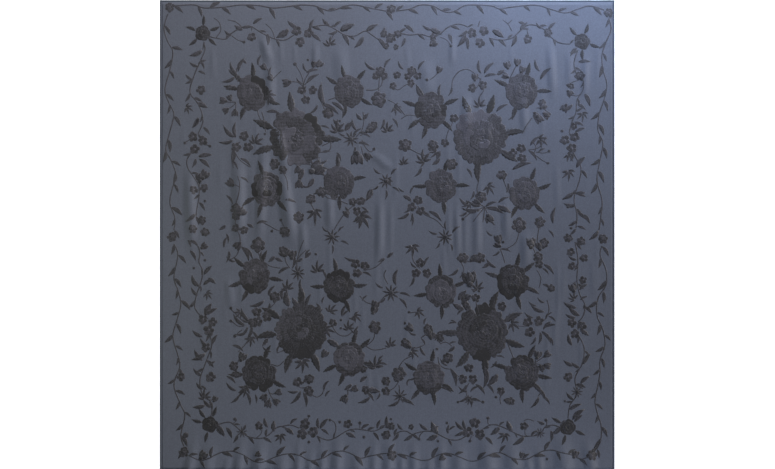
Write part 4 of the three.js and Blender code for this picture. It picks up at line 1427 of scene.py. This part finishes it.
def make_hem(side, start, end):
    """A hem from start to end, given as places on the cloth's plan."""
    count = round(math.dist(start, end) / hem_step)
    x = np.linspace(start[0], end[0], count)
    y = np.linspace(start[1], end[1], count)
    z = lift(np.clip(x, -panel_x, panel_x), np.clip(y, -panel_y, panel_y)) + hem_high / 2
    edges = [(k, k + 1) for k in range(count - 1)]
    hem = new_object(f"hem_{side}_roll", np.stack([x, y, z], -1).tolist(), [], edges)
    inputs = {"Width": roll_wide, "Height": hem_high, "Pitch": whip_pitch, "Slant": whip_slant}
    grown(hem, rolled_hems, {**inputs, "Shape": stitch, "Silk": hem_finish})
    dress(hem, "rolled_hem", f"hem_{side}")
    return hem


middle_x = shawl_wide / 2 - hem_wide / 2
middle_y = shawl_long / 2 - hem_wide / 2
hems = [
    make_hem("bottom", (-middle_x, -middle_y), (middle_x, -middle_y)),
    make_hem("top", (-middle_x, middle_y), (middle_x, middle_y)),
    make_hem("left", (-middle_x, bottom_edge), (-middle_x, -bottom_edge)),
    make_hem("right", (middle_x, bottom_edge), (middle_x, -bottom_edge)),
]
dress(cloth, "silk_crepe", "shawl_panel")

for pattern in [*patterns.values(), stitch]:
    bpy.data.objects.remove(pattern)

# Floor, light and camera
floor_half = 7.0


def make_floor():
    corners = [(-floor_half, -floor_half, 0), (floor_half, -floor_half, 0), (floor_half, floor_half, 0)]
    corners.append((-floor_half, floor_half, 0))
    piece = new_object("pale_floor", corners, [(0, 1, 2, 3)])
    material, tree, place = new_material("pale_floor")
    colour = tree.mixed(noise(tree, place, 6.0), (0.9, 0.9, 0.9), (0.94, 0.94, 0.94))
    glow = {"Emission Color": (1, 1, 1, 1), "Emission Strength": 1.0}
    close_material(tree, {"Base Color": colour, "Roughness": 0.9, **glow})
    piece.data.materials.append(material)
    return piece


floor = make_floor()


def soft_light(name, place, aim, sides, power, colour, spread):
    lamp = bpy.data.lights.new(name, "AREA")
    lamp.shape = "RECTANGLE"
    lamp.size, lamp.size_y = sides
    lamp.spread = math.radians(spread)
    lamp.energy = power
    lamp.color = colour
    light = new_linked(name, lamp)
    ahead, aside, down = (b - a for a, b in zip(place, aim))
    tilt = math.atan2(math.hypot(ahead, aside), -down)
    light.location = place
    light.rotation_euler = (tilt, 0, math.atan2(aside, ahead) - math.pi / 2)


soft_light("top_right_glow", (0.66, 1.02, 0.4), (0.6, 0.5, 0), (1.0, 0.3), 4.8, (0.42, 0.6, 1.0), 120)
soft_light("top_wash", (0.1, 1.4, 0.8), (0.0, 0.5, 0), (1.8, 0.4), 11.5, (0.8, 0.84, 1.0), 140)
soft_light("left_wash", (-1.6, -0.1, 0.7), (-0.3, -0.1, 0), (0.6, 1.6), 7.7, (0.95, 1.0, 0.95), 180)
soft_light("bottom_wash", (0.25, -1.35, 0.5), (0.2, -0.7, 0), (1.4, 0.3), 4.5, (0.61, 0.72, 1.0), 140)

window = bpy.data.lights.new("window", "SUN")
window.energy = 3.5
window.color = (1.0, 0.97, 0.95)
window.angle = math.radians(14)
new_linked("window", window).rotation_euler = (math.radians(72), 0, math.radians(112))

world = bpy.data.worlds.new("studio")
bpy.context.scene.world = world
world.use_nodes = True
world.node_tree.nodes["Background"].inputs["Color"].default_value = (1, 1, 1, 1)
world.node_tree.nodes["Background"].inputs["Strength"].default_value = 0.06

camera_height = 4.0
sensor = 36.0
lens = bpy.data.cameras.new("straight_down")
lens.sensor_width = sensor
lens.lens = sensor * camera_height / (photo_wide_px * pixel)
camera = new_linked("straight_down", lens)
camera.location = (*on_cloth(*photo_middle_px), camera_height)
bpy.context.scene.camera = camera
bpy.context.scene.view_settings.view_transform = "Standard"
